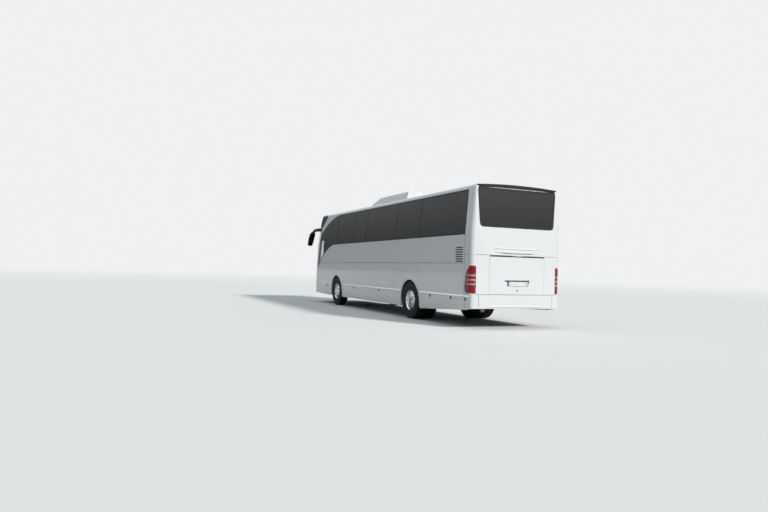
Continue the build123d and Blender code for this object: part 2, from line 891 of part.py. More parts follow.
def steps(y_low, y_high, foot_z, top_z, count, tread):
    """Solid flight of steps inside a right-side door, rising towards the aisle."""
    outer_x = half_width - wall - seat_gap
    for index in range(count):
        height = foot_z + (top_z - foot_z) * (index + 1) / (count + 1)
        near = outer_x - index * tread
        far = outer_x - count * tread
        side_block(-1, far, near, y_low, y_high, foot_z - sheet, height)
    side_block(-1, far - sheet, far, y_low, y_high, foot_z - sheet, top_z)


with BuildPart() as flap_zones:
    block((-wide, flap_start_y, 0.0), (wide, middle_door_y, waist_height))
    block((0.0, middle_door_y, 0.0), (wide, flap_end_y, waist_height))
    block((-wide, service_start_y, 0.0), (wide, corner_seam_y, waist_height))

with BuildPart() as side_clearance:
    add(cabin_hull)
    add(bay_hull, mode=Mode.SUBTRACT)
    add(flap_zones.part, mode=Mode.INTERSECT)

middle_stair_x = half_width - wall - 3 * middle_tread
# y low, y high, lowest step, floor that the steps reach, tread
STAIRS = [
    (front_door_y + stair_side_gap, front_door_end_y - stair_side_gap, front_skirt_height + sheet,
     platform_height, front_tread),
    (middle_door_y, flap_end_y, skirt_height + sheet, cabin_floor_height, middle_tread),
]

rail_end_y = rear_y - rail_rear_inset
with BuildPart() as underframe:
    # cabin floor and driver's platform
    block((-wide, front_box_y, cabin_floor_height - sheet), (wide, rear_y, cabin_floor_height))
    block((-wide, front_y, platform_height - sheet), (wide, front_box_y + sheet, platform_height))
    block((-wide, front_box_y, platform_height - sheet), (wide, front_box_y + sheet, cabin_floor_height))
    # luggage bay floor and its bulkheads
    block((-wide, flap_start_y, bay_floor_height - sheet), (wide, flap_end_y + sheet, bay_floor_height))
    block((-wide, flap_start_y, bay_floor_height - sheet), (wide, flap_start_y + sheet, cabin_floor_height))
    block((-wide, flap_end_y, bay_floor_height - sheet), (wide, flap_end_y + sheet, cabin_floor_height))
    # rear bulkhead of the rear wheel boxes
    block((-wide, service_start_y + 2 * sheet, arch_centre_height), (wide, service_start_y + 3 * sheet,
                                                                     cabin_floor_height))
    # inner walls of the wheel boxes
    for sign, _ in SIDES:
        side_block(sign, house_inner_x - sheet, house_inner_x, front_box_y, flap_start_y + sheet,
                   platform_height - sheet, cabin_floor_height)
        side_block(sign, house_inner_x - sheet, house_inner_x, flap_end_y, service_start_y + 3 * sheet,
                   platform_height - sheet, cabin_floor_height)
        # long rails over both axles
        side_block(sign, rail_x - rail_width / 2, rail_x + rail_width / 2, front_y + rail_front_inset,
                   flap_start_y + sheet, platform_height - 3 * sheet, platform_height - sheet / 2)
        side_block(sign, rail_x - rail_width / 2, rail_x + rail_width / 2, flap_end_y, rail_end_y,
                   platform_height - 3 * sheet, platform_height - sheet / 2)
        side_block(sign, rail_x - rail_width / 2, rail_x + rail_width / 2, rail_end_y - rail_riser_length,
                   rail_end_y, platform_height - 3 * sheet, cabin_floor_height)
    # stair wells inside the doors
    for y_low, y_high, sill, head, tread in STAIRS:
        stair_x = half_width - wall - 3 * tread
        side_block(-1, stair_x, wide, y_low, y_high, 0.0, cabin_floor_height + overlap, Mode.SUBTRACT)
        steps(y_low, y_high, sill, head, 3, tread)
    side_block(-1, middle_stair_x - sheet / 2, wide, middle_door_y - sheet / 2, middle_door_y, bay_floor_height - sheet,
               cabin_floor_height)
    side_block(-1, middle_stair_x - sheet, middle_stair_x, middle_door_y - sheet / 2, flap_end_y + sheet / 2,
               bay_floor_height - sheet, cabin_floor_height)
    # everything stops at the inside of the body, and clear of the flaps
    add(cabin_hull, mode=Mode.INTERSECT)
    add(side_clearance.part, mode=Mode.SUBTRACT)
save(underframe, "underframe")

# Front axle: a dropped beam with a kingpin eye at each end, and a knuckle on each kingpin
lug_gap = seat_gap
eye_low = tyre_radius - kingpin_eye_half
eye_high = tyre_radius + kingpin_eye_half
with BuildPart() as front_axle:
    beam_z = tyre_radius - beam_drop
    beam_end_x = kingpin_x - beam_end_inset
    block_x = kingpin_x - kingpin_block_length
    block((-beam_end_x, front_axle_y - beam_size / 2, beam_z - beam_size / 2),
          (beam_end_x, front_axle_y + beam_size / 2, beam_z + beam_size / 2))
    for sign, _ in SIDES:
        side_block(sign, block_x, kingpin_x, front_axle_y - kingpin_eye_radius,
                   front_axle_y + kingpin_eye_radius, eye_low, eye_high)
        side_block(sign, block_x, beam_end_x, front_axle_y - kingpin_eye_radius,
                   front_axle_y + kingpin_eye_radius, beam_z, eye_high)
        post_along_z(sign * kingpin_x, front_axle_y, eye_low, eye_high, kingpin_eye_radius)
        post_along_z(sign * kingpin_x, front_axle_y, eye_low, eye_high, kingpin_radius + spin_gap, Mode.SUBTRACT)
        # spring seats under the rails
        side_block(sign, rail_x - spring_seat_half, rail_x + spring_seat_half, front_axle_y - spring_seat_half,
                   front_axle_y + spring_seat_half, beam_z, beam_z + beam_size / 2 + spring_seat_rise)
save(front_axle, "front_axle")

spindle_end_x = wheel_x + disc_offset - disc_thickness - spindle_end_gap
for sign, name in SIDES:
    with BuildPart() as knuckle:
        web_near = kingpin_x + kingpin_eye_radius + running_gap
        for low_z, high_z in ((eye_low - lug_gap - knuckle_lug, eye_low - lug_gap),
                              (eye_high + lug_gap, eye_high + lug_gap + knuckle_lug)):
            side_block(sign, kingpin_x, web_near + knuckle_web, front_axle_y - kingpin_eye_radius,
                       front_axle_y + kingpin_eye_radius, low_z, high_z)
            post_along_z(sign * kingpin_x, front_axle_y, low_z, high_z, kingpin_eye_radius)
        side_block(sign, web_near, web_near + knuckle_web, front_axle_y - kingpin_eye_radius,
                   front_axle_y + kingpin_eye_radius, eye_low - lug_gap - knuckle_lug, eye_high + lug_gap + knuckle_lug)
        post_along_z(sign * kingpin_x, front_axle_y, eye_low - knuckle_lug, eye_high + knuckle_lug, kingpin_radius)
        near, far = sorted((sign * web_near, sign * spindle_end_x))
        bar_along_x(near, far, front_axle_y, tyre_radius, spindle_radius)
    save(knuckle, f"knuckle_{name}")

# Rear axle: banjo housing with a differential bulge and a spindle into each pair of wheels
with BuildPart() as rear_axle:
    bar_along_x(-twin_x + housing_end_inset, twin_x - housing_end_inset, rear_axle_y, tyre_radius, housing_radius)
    bar_along_x(-wheel_x, wheel_x, rear_axle_y, tyre_radius, spindle_radius)
    with Locations(Location((0, rear_axle_y, tyre_radius), (90, 0, 0))):
        Cylinder(differential_radius, differential_length)
    with Locations(Location((0, rear_axle_y - pinion_set_forward, tyre_radius), (90, 0, 0))):
        Cone(*pinion_radii, differential_length)
    for sign, _ in SIDES:
        side_block(sign, rail_x - spring_seat_half, rail_x + spring_seat_half, rear_axle_y - spring_seat_half,
                   rear_axle_y + spring_seat_half, tyre_radius, tyre_radius + housing_radius + spring_seat_rise)
        side_block(sign, rail_x - spring_foot_half, rail_x + spring_foot_half, rear_axle_y - spring_foot_half,
                   rear_axle_y + spring_foot_half, tyre_radius - housing_radius - spring_foot_drop, tyre_radius)
save(rear_axle, "rear_axle")

# Air springs between the axles' seats and the rails
with BuildPart() as air_springs:
    rail_low = platform_height - 3 * sheet
    for axle_y, seat_z in ((front_axle_y, tyre_radius - beam_drop + beam_size / 2 + spring_seat_rise),
                           (rear_axle_y, tyre_radius + housing_radius + spring_seat_rise)):
        for sign, _ in SIDES:
            post_along_z(sign * rail_x, axle_y, seat_z + seat_gap, rail_low - seat_gap, air_spring_radius)
save(air_springs, "air_springs")


def tyre_ring(centre_x, axle_y):
    """Tyre turned about the axle, with rounded shoulders, in the active part."""
    with BuildSketch(Plane.XZ.offset(-axle_y)) as ring:
        with Locations((centre_x, tyre_radius + (tyre_radius + rim_radius) / 2)):
            Rectangle(tyre_width, tyre_radius - rim_radius)
        fillet(ring.vertices().sort_by(Axis.Y)[-2:], tyre_shoulder)
        chamfer(ring.vertices().sort_by(Axis.Y)[:2], (tyre_width - rim_width) / 2)
    revolve(ring.sketch, Axis((0, axle_y, tyre_radius), (1, 0, 0)))


def rim_ring(centre_x, axle_y, outward, offset_x):
    """Rim barrel and the disc that joins it to the hub, `offset_x` off its middle, in the active part."""
    barrel_low = rim_radius - seat_gap - rim_wall
    disc_x = centre_x + outward * (offset_x - disc_thickness / 2)
    disc_near, disc_far = sorted((disc_x - disc_thickness / 2, disc_x + disc_thickness / 2))
    disc_edge = hub_radius + disc_flange
    outer_place, inner_place = (rim_width / 2 - place for place in disc_rim_places)
    with BuildSketch(Plane.XZ.offset(-axle_y)) as profile:
        with Locations((0, tyre_radius)):
            with Locations((centre_x, barrel_low + rim_wall / 2)):
                Rectangle(rim_width, rim_wall)
        polygon([
            (centre_x + outward * outer_place, tyre_radius + barrel_low + rim_wall / 2),
            (centre_x + outward * inner_place, tyre_radius + barrel_low + rim_wall / 2),
            (disc_x + outward * disc_thickness / 2, tyre_radius + disc_edge),
            (disc_x - outward * disc_thickness / 2, tyre_radius + disc_edge),
        ])
        panel((disc_near, tyre_radius + spindle_radius + spin_gap), (disc_far, tyre_radius + disc_edge + overlap))
    revolve(profile.sketch, Axis((0, axle_y, tyre_radius), (1, 0, 0)))


def hub(sign, x_low, x_high, bore_end, axle_y, radius):
    """Hub between two distances from the middle plane, bored for the spindle up to bore_end."""
    near, far = sorted((sign * x_low, sign * x_high))
    bar_along_x(near, far, axle_y, tyre_radius, radius)
    near, far = sorted((sign * (x_low - overlap), sign * bore_end))
    bar_along_x(near, far, axle_y, tyre_radius, spindle_radius + spin_gap, Mode.SUBTRACT)


# Tyres and wheels: single in front, twin at the rear on one hub
twin_disc_offset = twin_pitch / 2
for sign, name in SIDES:
    with BuildPart() as front_tyre:
        tyre_ring(sign * wheel_x, front_axle_y)
    save(front_tyre, f"tyre_front_{name}")
    with BuildPart() as rear_tyre:
        tyre_ring(sign * wheel_x, rear_axle_y)
        tyre_ring(sign * twin_x, rear_axle_y)
    save(rear_tyre, f"tyre_rear_{name}")

    with BuildPart() as front_wheel:
        rim_ring(sign * wheel_x, front_axle_y, sign, disc_offset)
        hub(sign, wheel_x + disc_offset - hub_depth, wheel_x + disc_offset,
            spindle_end_x + spindle_end_gap, front_axle_y, hub_radius)
    save(front_wheel, f"wheel_front_{name}")

    with BuildPart() as rear_wheel:
        rim_ring(sign * wheel_x, rear_axle_y, -sign, twin_disc_offset)
        rim_ring(sign * twin_x, rear_axle_y, sign, twin_disc_offset)
        hub(sign, wheel_x - twin_disc_offset - hub_depth, wheel_x + rear_hub_reach, wheel_x + spindle_end_gap,
            rear_axle_y, rear_hub_radius)
    save(rear_wheel, f"wheel_rear_{name}")

# Engine as one plain block on the rails, and the exhaust with its tailpipe
engine_length = engine_share * tail_room
engine_y = rear_y - engine_tail_gap - engine_length
rail_inner = rail_x - rail_width / 2
with BuildPart() as engine:
    block((-rail_inner + seat_gap, engine_y, engine_low_height),
          (rail_inner - seat_gap, engine_y + engine_length, engine_high_height))
save(engine, "engine")

with BuildPart() as exhaust:
    silencer_end_y = tail_room_y + silencer_share * tail_room
    silencer_x = rail_x - silencer_overlap
    pipe_x = rail_x + tailpipe_out
    pipe_z = tail_skirt_height + tailpipe_rise
    side_block(1, silencer_x, silencer_x + silencer_width, tail_room_y + seat_gap, silencer_end_y,
               arch_centre_height + silencer_rise, platform_height - 3 * sheet - seat_gap)
    with BuildLine() as pipe_path:
        FilletPolyline(
            (pipe_x, silencer_end_y - running_gap, pipe_z),
            (pipe_x, rear_y - tailpipe_bend_lead, pipe_z),
            (rail_x + tailpipe_end_out, rear_y - tailpipe_end_lead, tail_skirt_height - tailpipe_end_drop),
            radius=tailpipe_bend_radius,
        )
    with BuildSketch(pipe_path.line ^ 0):
        Circle(tailpipe_radius)
    sweep(path=pipe_path.line)
save(exhaust, "exhaust")

# Air conditioning pod and hatches, seated on the roof's crown
ac_y = front_y + ac_behind_front
with BuildPart() as ac_unit:
    with BuildSketch(Plane.YZ):
        polygon([
            (ac_y, roof_height - ac_root),
            (ac_y, roof_height + ac_front_rise),
            (ac_y + ac_front_slope, ac_top_height),
            (ac_y + ac_length - ac_rear_slope, ac_top_height),
            (ac_y + ac_length, roof_height + ac_rear_rise),
            (ac_y + ac_length, roof_height - ac_root),
        ])
    extrude(amount=ac_width / 2, both=True)
    with BuildSketch(Plane.XZ):
        polygon([
            (-ac_width / 2, roof_height - ac_root),
            (-ac_width / 2, roof_height + ac_side_rise),
            (-ac_width / 2 + ac_side_slope, ac_top_height),
            (ac_width / 2 - ac_side_slope, ac_top_height),
            (ac_width / 2, roof_height + ac_side_rise),
            (ac_width / 2, roof_height - ac_root),
        ])
    extrude(amount=reach, both=True, mode=Mode.INTERSECT)
    add(seat_hull, mode=Mode.SUBTRACT)
save(ac_unit, "ac_unit")

with BuildPart() as roof_hatches:
    for place in hatches_behind_front:
        with Locations((0, front_y + place + hatch_length / 2, roof_height + hatch_height / 2 - hatch_sink)):
            Box(hatch_width, hatch_length, hatch_height + 2 * hatch_sink)
    chamfer(roof_hatches.edges().group_by(Axis.Z)[-1], hatch_bevel)
    add(seat_hull, mode=Mode.SUBTRACT)
save(roof_hatches, "roof_hatches")

# Mirrors: an arm from the dome, bent down into a drop-shaped head
head_y = front_y - mirror_reach + mirror_head_depth / 2
with BuildPart() as mirrors:
    for sign, _ in SIDES:
        for height, out, width, depth in MIRROR_SECTIONS:
            with BuildSketch(Plane.XY.offset(height)):
                with Locations((sign * out, head_y)):
                    RectangleRounded(width, depth, mirror_corner_share * depth)
        loft()
    for sign, _ in SIDES:
        with BuildLine() as arm_path:
            FilletPolyline(*((sign * out, front_y + back, height) for out, back, height in MIRROR_ARM),
                           radius=mirror_arm_bend)
        with BuildSketch(arm_path.line ^ 0):
            Circle(mirror_arm_radius)
        sweep(path=arm_path.line)
    add(seat_hull, mode=Mode.SUBTRACT)
save(mirrors, "mirrors")

# Seats: pairs on both sides of the aisle, and the driver's on the platform
def seat(x_low, x_high, y, floor_z):
    """Seat solid facing forward, extruded between two X places, in the active part."""
    with BuildSketch(Plane.YZ.offset(x_low)) as outline:
        polygon([(y + across, floor_z + seat_gap + up) for across, up in SEAT_PROFILE])
    extrude(outline.sketch, amount=x_high - x_low)


seat_depth = max(across for across, _ in SEAT_PROFILE)
first_row_y = front_axle_y - front_flap_start + first_row_behind_axle
with BuildPart() as seats:
    for row in range(seat_rows):
        row_y = first_row_y + row * seat_pitch
        row_end = row_y + seat_depth
        seat(aisle_half_width, aisle_half_width + seat_pair_width, row_y, cabin_floor_height)
        if row_end < middle_door_y - sheet or row_y > flap_end_y + sheet:
            seat(-aisle_half_width - seat_pair_width, -aisle_half_width, row_y, cabin_floor_height)
    seat(driver_x - driver_seat_width / 2, driver_x + driver_seat_width / 2,
         front_door_y + driver_seat_behind_door, platform_height)
save(seats, "seats")

with BuildPart() as luggage_racks:
    for sign, _ in SIDES:
        side_block(sign, half_width - wall - rack_depth, wide, front_box_y + rack_front_inset,
                   corner_seam_y - rack_rear_inset, rack_low_height, rack_high_height)
    add(cabin_hull, mode=Mode.INTERSECT)
save(luggage_racks, "luggage_racks")

with BuildPart() as dashboard:
    with BuildSketch(Plane.YZ):
        polygon([(front_y + back, platform_height + seat_gap + up) for back, up in DASHBOARD_PROFILE])
    extrude(amount=wide, both=True)
    end_low, end_high = (front_y + back for back in dashboard_end_behind_front)
    side_block(-1, dashboard_end_x, wide, end_low, end_high, 0.0, tall, Mode.SUBTRACT)
    add(cabin_hull, mode=Mode.INTERSECT)

with BuildPart() as cockpit:
    wheel_plane = Plane(origin=(driver_x, front_y + steering_behind_front, platform_height + steering_above_platform),
                        x_dir=(1, 0, 0), z_dir=(0, 0.5, 0.866))
    with BuildSketch(Plane(wheel_plane.origin, x_dir=wheel_plane.x_dir, z_dir=wheel_plane.y_dir)) as grip:
        with Locations((steering_wheel_radius, 0)):
            Circle(steering_grip_radius)
    revolve(axis=Axis(wheel_plane.origin, wheel_plane.z_dir))
    with BuildSketch(wheel_plane):
        Rectangle(2 * steering_wheel_radius, steering_spoke_width)
    extrude(amount=-steering_spoke_thickness)
    with BuildSketch(wheel_plane):
        Circle(steering_column_radius)
    extrude(amount=-steering_column_length)
    add(dashboard.part)
save(cockpit, "cockpit")
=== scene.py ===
"""Finish and fittings of a two-axle touring coach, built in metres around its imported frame.

+X is the coach's left side, +Y points to its rear and +Z is up. The wheels stand on Z = 0. Flat outlines are
laid on the body from one of five views, so that seals, seams, lamps and mouldings follow its curves.
"""
import logging
import math
from dataclasses import dataclass, field
from enum import Enum
from typing import Iterable, Sequence

import bmesh
import bpy
from mathutils import Matrix, Vector
from mathutils.bvhtree import BVHTree

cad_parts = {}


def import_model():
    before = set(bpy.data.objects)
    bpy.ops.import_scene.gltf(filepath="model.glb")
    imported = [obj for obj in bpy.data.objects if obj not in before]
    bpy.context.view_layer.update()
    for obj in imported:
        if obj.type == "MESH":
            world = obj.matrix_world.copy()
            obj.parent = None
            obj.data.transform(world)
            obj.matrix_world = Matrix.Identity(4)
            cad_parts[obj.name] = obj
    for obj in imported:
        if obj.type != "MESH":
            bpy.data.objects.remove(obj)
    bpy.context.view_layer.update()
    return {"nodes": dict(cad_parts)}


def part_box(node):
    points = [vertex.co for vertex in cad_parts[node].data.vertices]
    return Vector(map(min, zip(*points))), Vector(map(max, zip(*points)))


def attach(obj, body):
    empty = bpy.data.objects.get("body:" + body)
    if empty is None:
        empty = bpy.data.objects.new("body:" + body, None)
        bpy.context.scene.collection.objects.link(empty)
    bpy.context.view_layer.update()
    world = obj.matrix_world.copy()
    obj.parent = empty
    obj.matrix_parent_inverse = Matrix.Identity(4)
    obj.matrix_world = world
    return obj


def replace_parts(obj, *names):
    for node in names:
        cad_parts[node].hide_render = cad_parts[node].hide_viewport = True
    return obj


LOG = logging.getLogger("coach")
Flat = tuple[float, float]
Color = tuple[float, float, float]
FRONT_AXLE = -3.07
REAR_AXLE = 3.01
HUB_HEIGHT = 0.52
ARCH_HEIGHT = 0.505
BUMPER_SEAM = 0.82
FAR_AWAY = 9.0
# longest step of a laid band, and how far laid pieces reach into the body
GRID_GAP = 0.06
SUNK = 0.002
# how far a ray may miss a panel, in turn, to bridge the gaps between panels, and how deep a gap is
REACHES = (0.008, 0.016, 0.040)
GAP_DEPTH = 0.012


class View(Enum):
    """Side of the coach that a flat outline is laid on: the axis through it, and its end of that axis."""

    LEFT = (0, 1)
    RIGHT = (0, -1)
    REAR = (1, 1)
    FRONT = (1, -1)
    TOP = (2, 1)

    @property
    def sign(self) -> int:
        """End of the axis that the side is on."""
        return self.value[1]

    def ray(self, u: float, v: float) -> tuple[Vector, Vector]:
        """Give the ray through a flat point.

        Args:
            u: Y on the left and right, X on the rest.
            v: Z, but Y on the top.

        Returns:
            The ray's start and its direction.
        """
        start, direction = [u, v], [0, 0]
        start.insert(self.value[0], self.sign * FAR_AWAY)
        direction.insert(self.value[0], -self.sign)
        return Vector(start), Vector(direction)


SIDES = {"left": View.LEFT, "right": View.RIGHT}


@dataclass
class Shape:
    """Loose mesh under construction: corner points and the faces between them."""

    points: list[Vector] = field(default_factory=list)
    faces: list[tuple[int, ...]] = field(default_factory=list)

    @classmethod
    def read(cls, mesh: bmesh.types.BMesh) -> "Shape":
        """Take the shape from a mesh under edit, which is freed.

        Args:
            mesh: The mesh, as bmesh holds it.

        Returns:
            The shape.
        """
        made = cls([v.co.copy() for v in mesh.verts], [tuple(v.index for v in f.verts) for f in mesh.faces])
        mesh.free()
        return made

    def join(self, *others: "Shape") -> "Shape":
        """Take in other shapes, and give this one.

        Args:
            others: The shapes to take in.

        Returns:
            This shape.
        """
        for other in others:
            base = len(self.points)
            self.points += other.points
            self.faces += [tuple(base + index for index in face) for face in other.faces]
        return self

    def placed(self, matrix: Matrix) -> "Shape":
        """Copy of the shape moved by a matrix."""
        return Shape([matrix @ point for point in self.points], list(self.faces))

    def at(self, *place: float) -> "Shape":
        """Copy of the shape moved to a place."""
        return self.placed(Matrix.Translation(place))

    def both(self) -> "Shape":
        """The shape with its copy on the coach's other side."""
        other = Shape([Vector((-p.x, p.y, p.z)) for p in self.points], [face[::-1] for face in self.faces])
        return Shape().join(self, other)


def strip(rings: Sequence[Sequence[Vector]], loop: bool = False, ring_closed: bool = True) -> Shape:
    """Skin of quads over a row of rings, with end caps where the row is open.

    Args:
        rings: Rows of points, all of one length.
        loop: Whether the last ring meets the first.
        ring_closed: Whether each ring's last point meets its first.

    Returns:
        The shape.
    """
    count = len(rings[0])
    made = Shape([point.copy() for ring in rings for point in ring])
    for i in range(len(rings) - (not loop)):
        low, high = i * count, (i + 1) % len(rings) * count
        for j in range(count - (not ring_closed)):
            k = (j + 1) % count
            made.faces.append((low + j, low + k, high + k, high + j))
    if ring_closed and not loop:
        made.faces.append(tuple(range(count)))
        made.faces.append(tuple(reversed(range((len(rings) - 1) * count, len(rings) * count))))
    return made


def circle(radius: float, count: int = 12) -> list[Flat]:
    """Points of a circle for a swept section."""
    turns = [2 * math.pi * step / count for step in range(count)]
    return [(radius * math.cos(turn), radius * math.sin(turn)) for turn in turns]


def lathe(profile: Sequence[Flat], segments: int = 48, closed: bool = False) -> Shape:
    """Turn a profile of (radius, height) about Z, open or the closed section of a ring."""
    rings = [[Vector((r * x, r * y, h)) for r, h in profile] for x, y in circle(1.0, segments)]
    return strip(rings, True, closed)


def rounded_box(low: Sequence[float], high: Sequence[float], radius: float, rounds: int = 2) -> Shape:
    """Box with bevelled edges.

    Args:
        low: Lowest corner.
        high: Highest corner.
        radius: Size of the rounding.
        rounds: Steps in each rounding.

    Returns:
        The shape.
    """
    mesh = bmesh.new()
    bmesh.ops.create_cube(mesh, size=1.0)
    for vert in mesh.verts:
        vert.co = Vector([(a + b) / 2 + c * (b - a) for a, b, c in zip(low, high, vert.co)])
    bmesh.ops.bevel(mesh, geom=list(mesh.edges), offset=radius, segments=rounds, profile=0.5, affect="EDGES")
    return Shape.read(mesh)


def sweep(path: Sequence[Vector], sections: Sequence[Sequence[Flat]],
          up: Sequence[float] = (0, 0, 1)) -> Shape:
    """Carry a section along a path.

    Args:
        path: Points of the path.
        sections: One section for each point, or one alone for all.
        up: Direction of each section's second axis.

    Returns:
        The swept solid.
    """
    rings = []
    for index, point in enumerate(path):
        along = (path[min(index + 1, len(path) - 1)] - path[max(index - 1, 0)]).normalized()
        across = along.cross(Vector(up)).normalized()
        raised = across.cross(along).normalized()
        rings.append([point + across * a + raised * b for a, b in sections[index % len(sections)]])
    return strip(rings)


def smooth_path(points: Sequence[Sequence[float]], steps: int) -> list[Vector]:
    """Curve through points, by a Catmull-Rom rule.

    Args:
        points: Points that the curve passes.
        steps: Steps between two points.

    Returns:
        Points of the curve.
    """
    knots = [Vector(point) for point in points]
    knots = [2 * knots[0] - knots[1], *knots, 2 * knots[-1] - knots[-2]]
    made = []
    for a, b, c, d in zip(knots, knots[1:], knots[2:], knots[3:]):
        for t in (step / steps for step in range(steps)):
            made.append(0.5 * (2 * b + (c - a) * t + (2 * a - 5 * b + 4 * c - d) * t ** 2
                               + (3 * b - a - 3 * c + d) * t ** 3))
    return made + [knots[-2]]


def facing(place: Vector, normal: Vector) -> Matrix:
    """Placement whose Z follows a surface normal."""
    return Matrix.Translation(place) @ normal.to_track_quat("Z", "Y").to_matrix().to_4x4()


def soft_block(size: Sequence[float], radius: float, crown: float, channels: Iterable[float],
               pull: float, grid: int = 9) -> Shape:
    """Padded block: rounded edges, a crowned top, sewn channels across it and sides that pull in.

    Args:
        size: Width, depth and height.
        radius: Rounding of the edges.
        crown: Rise of the middle of the top.
        channels: Places of the channels along the depth, from -1 to 1.
        pull: How far the sides pull in between the corners.
        grid: Cells along each edge.

    Returns:
        The shape, with its middle at the origin.
    """
    channel_depth, channel_width = 0.007, 0.09
    mesh = bmesh.new()
    bmesh.ops.create_cube(mesh, size=2.0)
    bmesh.ops.subdivide_edges(mesh, edges=list(mesh.edges), cuts=grid - 1, use_grid_fill=True)
    half = [length / 2 for length in size]
    for vert in mesh.verts:
        u, v, w = vert.co
        point = Vector([c * h for c, h in zip(vert.co, half)])
        core = Vector([max(-(h - radius), min(h - radius, c)) for c, h in zip(point, half)])
        away = point - core
        point = core + away.normalized() * radius if away.length > 1e-9 else point
        point.x -= pull * u * (1 - v * v)
        if w > 0:
            point.z += crown * (1 - u * u) * (1 - v * v) * w
            for place in channels:
                point.z -= channel_depth * math.exp(-((v - place) / channel_width) ** 2) * w
        vert.co = point
    return Shape.read(mesh)


class Nodes:
    """Node tree under construction."""

    def __init__(self, tree: bpy.types.NodeTree) -> None:
        """Take the tree."""
        self.tree = tree

    def node(self, kind: str, inputs: dict | None = None, **settings: object) -> bpy.types.Node:
        """Add a node.

        Args:
            kind: The node's type name.
            inputs: Values or sockets for its inputs, by name or number.
            settings: Attributes to set on it.

        Returns:
            The node.
        """
        made = self.tree.nodes.new(kind)
        for key, value in settings.items():
            setattr(made, key, value)
        for key, value in (inputs or {}).items():
            self.feed(made.inputs[key], value)
        return made

    def feed(self, socket: bpy.types.NodeSocket, value: object) -> None:
        """Link a socket, or set its value, with full alpha for a colour.

        Args:
            socket: The input to feed.
            value: Another node's output, or a plain value.
        """
        if isinstance(value, bpy.types.NodeSocket):
            self.tree.links.new(value, socket)
        else:
            socket.default_value = (*value, 1.0) if socket.type == "RGBA" else value

    def math(self, operation: str, a: object, b: object) -> bpy.types.NodeSocket:
        """Arithmetic on two values."""
        return self.node("ShaderNodeMath", {0: a, 1: b}, operation=operation).outputs[0]

    def remap(self, value: bpy.types.NodeSocket, low: float, high: float, start: float = 0.0,
              end: float = 1.0) -> bpy.types.NodeSocket:
        """Stretch a range of values onto another, held at its ends."""
        return self.node("ShaderNodeMapRange", {0: value, 1: low, 2: high, 3: start, 4: end}).outputs[0]


class Repeater:
    """Geometry Nodes tree that copies a form along a line or round a circle."""

    def __init__(self, round_axis: bool, finishes: dict[str, bpy.types.Material]) -> None:
        """Build the tree.

        Args:
            round_axis: Whether the copies go round Z, turned with it, and not along a line.
            finishes: The materials by name.
        """
        self.finishes = finishes
        label = "repeat_round" if round_axis else "repeat_along"
        self.tree = bpy.data.node_groups.new(label, "GeometryNodeTree")
        spread = ("Radius", "Float") if round_axis else ("Step", "Vector")
        for name, kind in (("Form", "Geometry"), ("Count", "Int"), spread, ("Finish", "Material")):
            self.tree.interface.new_socket(name=name, in_out="INPUT", socket_type=f"NodeSocket{kind}")
        self.tree.interface.new_socket(name="Copies", in_out="OUTPUT", socket_type="NodeSocketGeometry")
        kit = Nodes(self.tree)
        inlet = kit.node("NodeGroupInput").outputs
        if round_axis:
            points = kit.node("GeometryNodeMeshCircle", {"Vertices": inlet["Count"],
                                                         "Radius": inlet["Radius"]})
            share = kit.math("DIVIDE", kit.node("GeometryNodeInputIndex").outputs[0], inlet["Count"])
            angle = kit.math("MULTIPLY", share, 2 * math.pi)
            turn = kit.node("ShaderNodeCombineXYZ", {"Z": angle}).outputs[0]
        else:
            points = kit.node("GeometryNodeMeshLine", {"Count": inlet["Count"], "Offset": inlet["Step"]})
            turn = (0.0, 0.0, 0.0)
        copies = kit.node("GeometryNodeInstanceOnPoints", {"Points": points.outputs["Mesh"],
                                                           "Instance": inlet["Form"], "Rotation": turn})
        real = kit.node("GeometryNodeRealizeInstances", {"Geometry": copies.outputs["Instances"]})
        dressed = kit.node("GeometryNodeSetMaterial", {"Geometry": real.outputs["Geometry"],
                                                       "Material": inlet["Finish"]})
        kit.node("NodeGroupOutput", {"Copies": dressed.outputs["Geometry"]})

    def shape(self, form: Shape, count: int, spread: float | Sequence[float], finish: str) -> Shape:
        """Copy a form and read the result back as a plain shape.

        Args:
            form: The form to copy.
            count: Number of copies.
            spread: Step between copies, or the circle's radius.
            finish: Name of the material that the tree sets.

        Returns:
            All the copies as one shape.
        """
        mesh = bpy.data.meshes.new("form")
        mesh.from_pydata(form.points, [], form.faces)
        carrier = bpy.data.objects.new("form", mesh)
        bpy.context.scene.collection.objects.link(carrier)
        modifier = carrier.modifiers.new("repeat", "NODES")
        modifier.node_group = self.tree
        values = {"Count": count, "Radius": spread, "Step": spread, "Finish": self.finishes[finish]}
        for item in self.tree.interface.items_tree:
            if item.in_out == "INPUT" and item.name in values:
                modifier[item.identifier] = values[item.name]
        carrier.update_tag()
        shown = carrier.evaluated_get(bpy.context.evaluated_depsgraph_get())
        copied = bpy.data.meshes.new_from_object(shown)
        made = Shape([v.co.copy() for v in copied.vertices], [tuple(p.vertices) for p in copied.polygons])
        bpy.data.objects.remove(carrier)
        bpy.data.meshes.remove(copied)
        return made


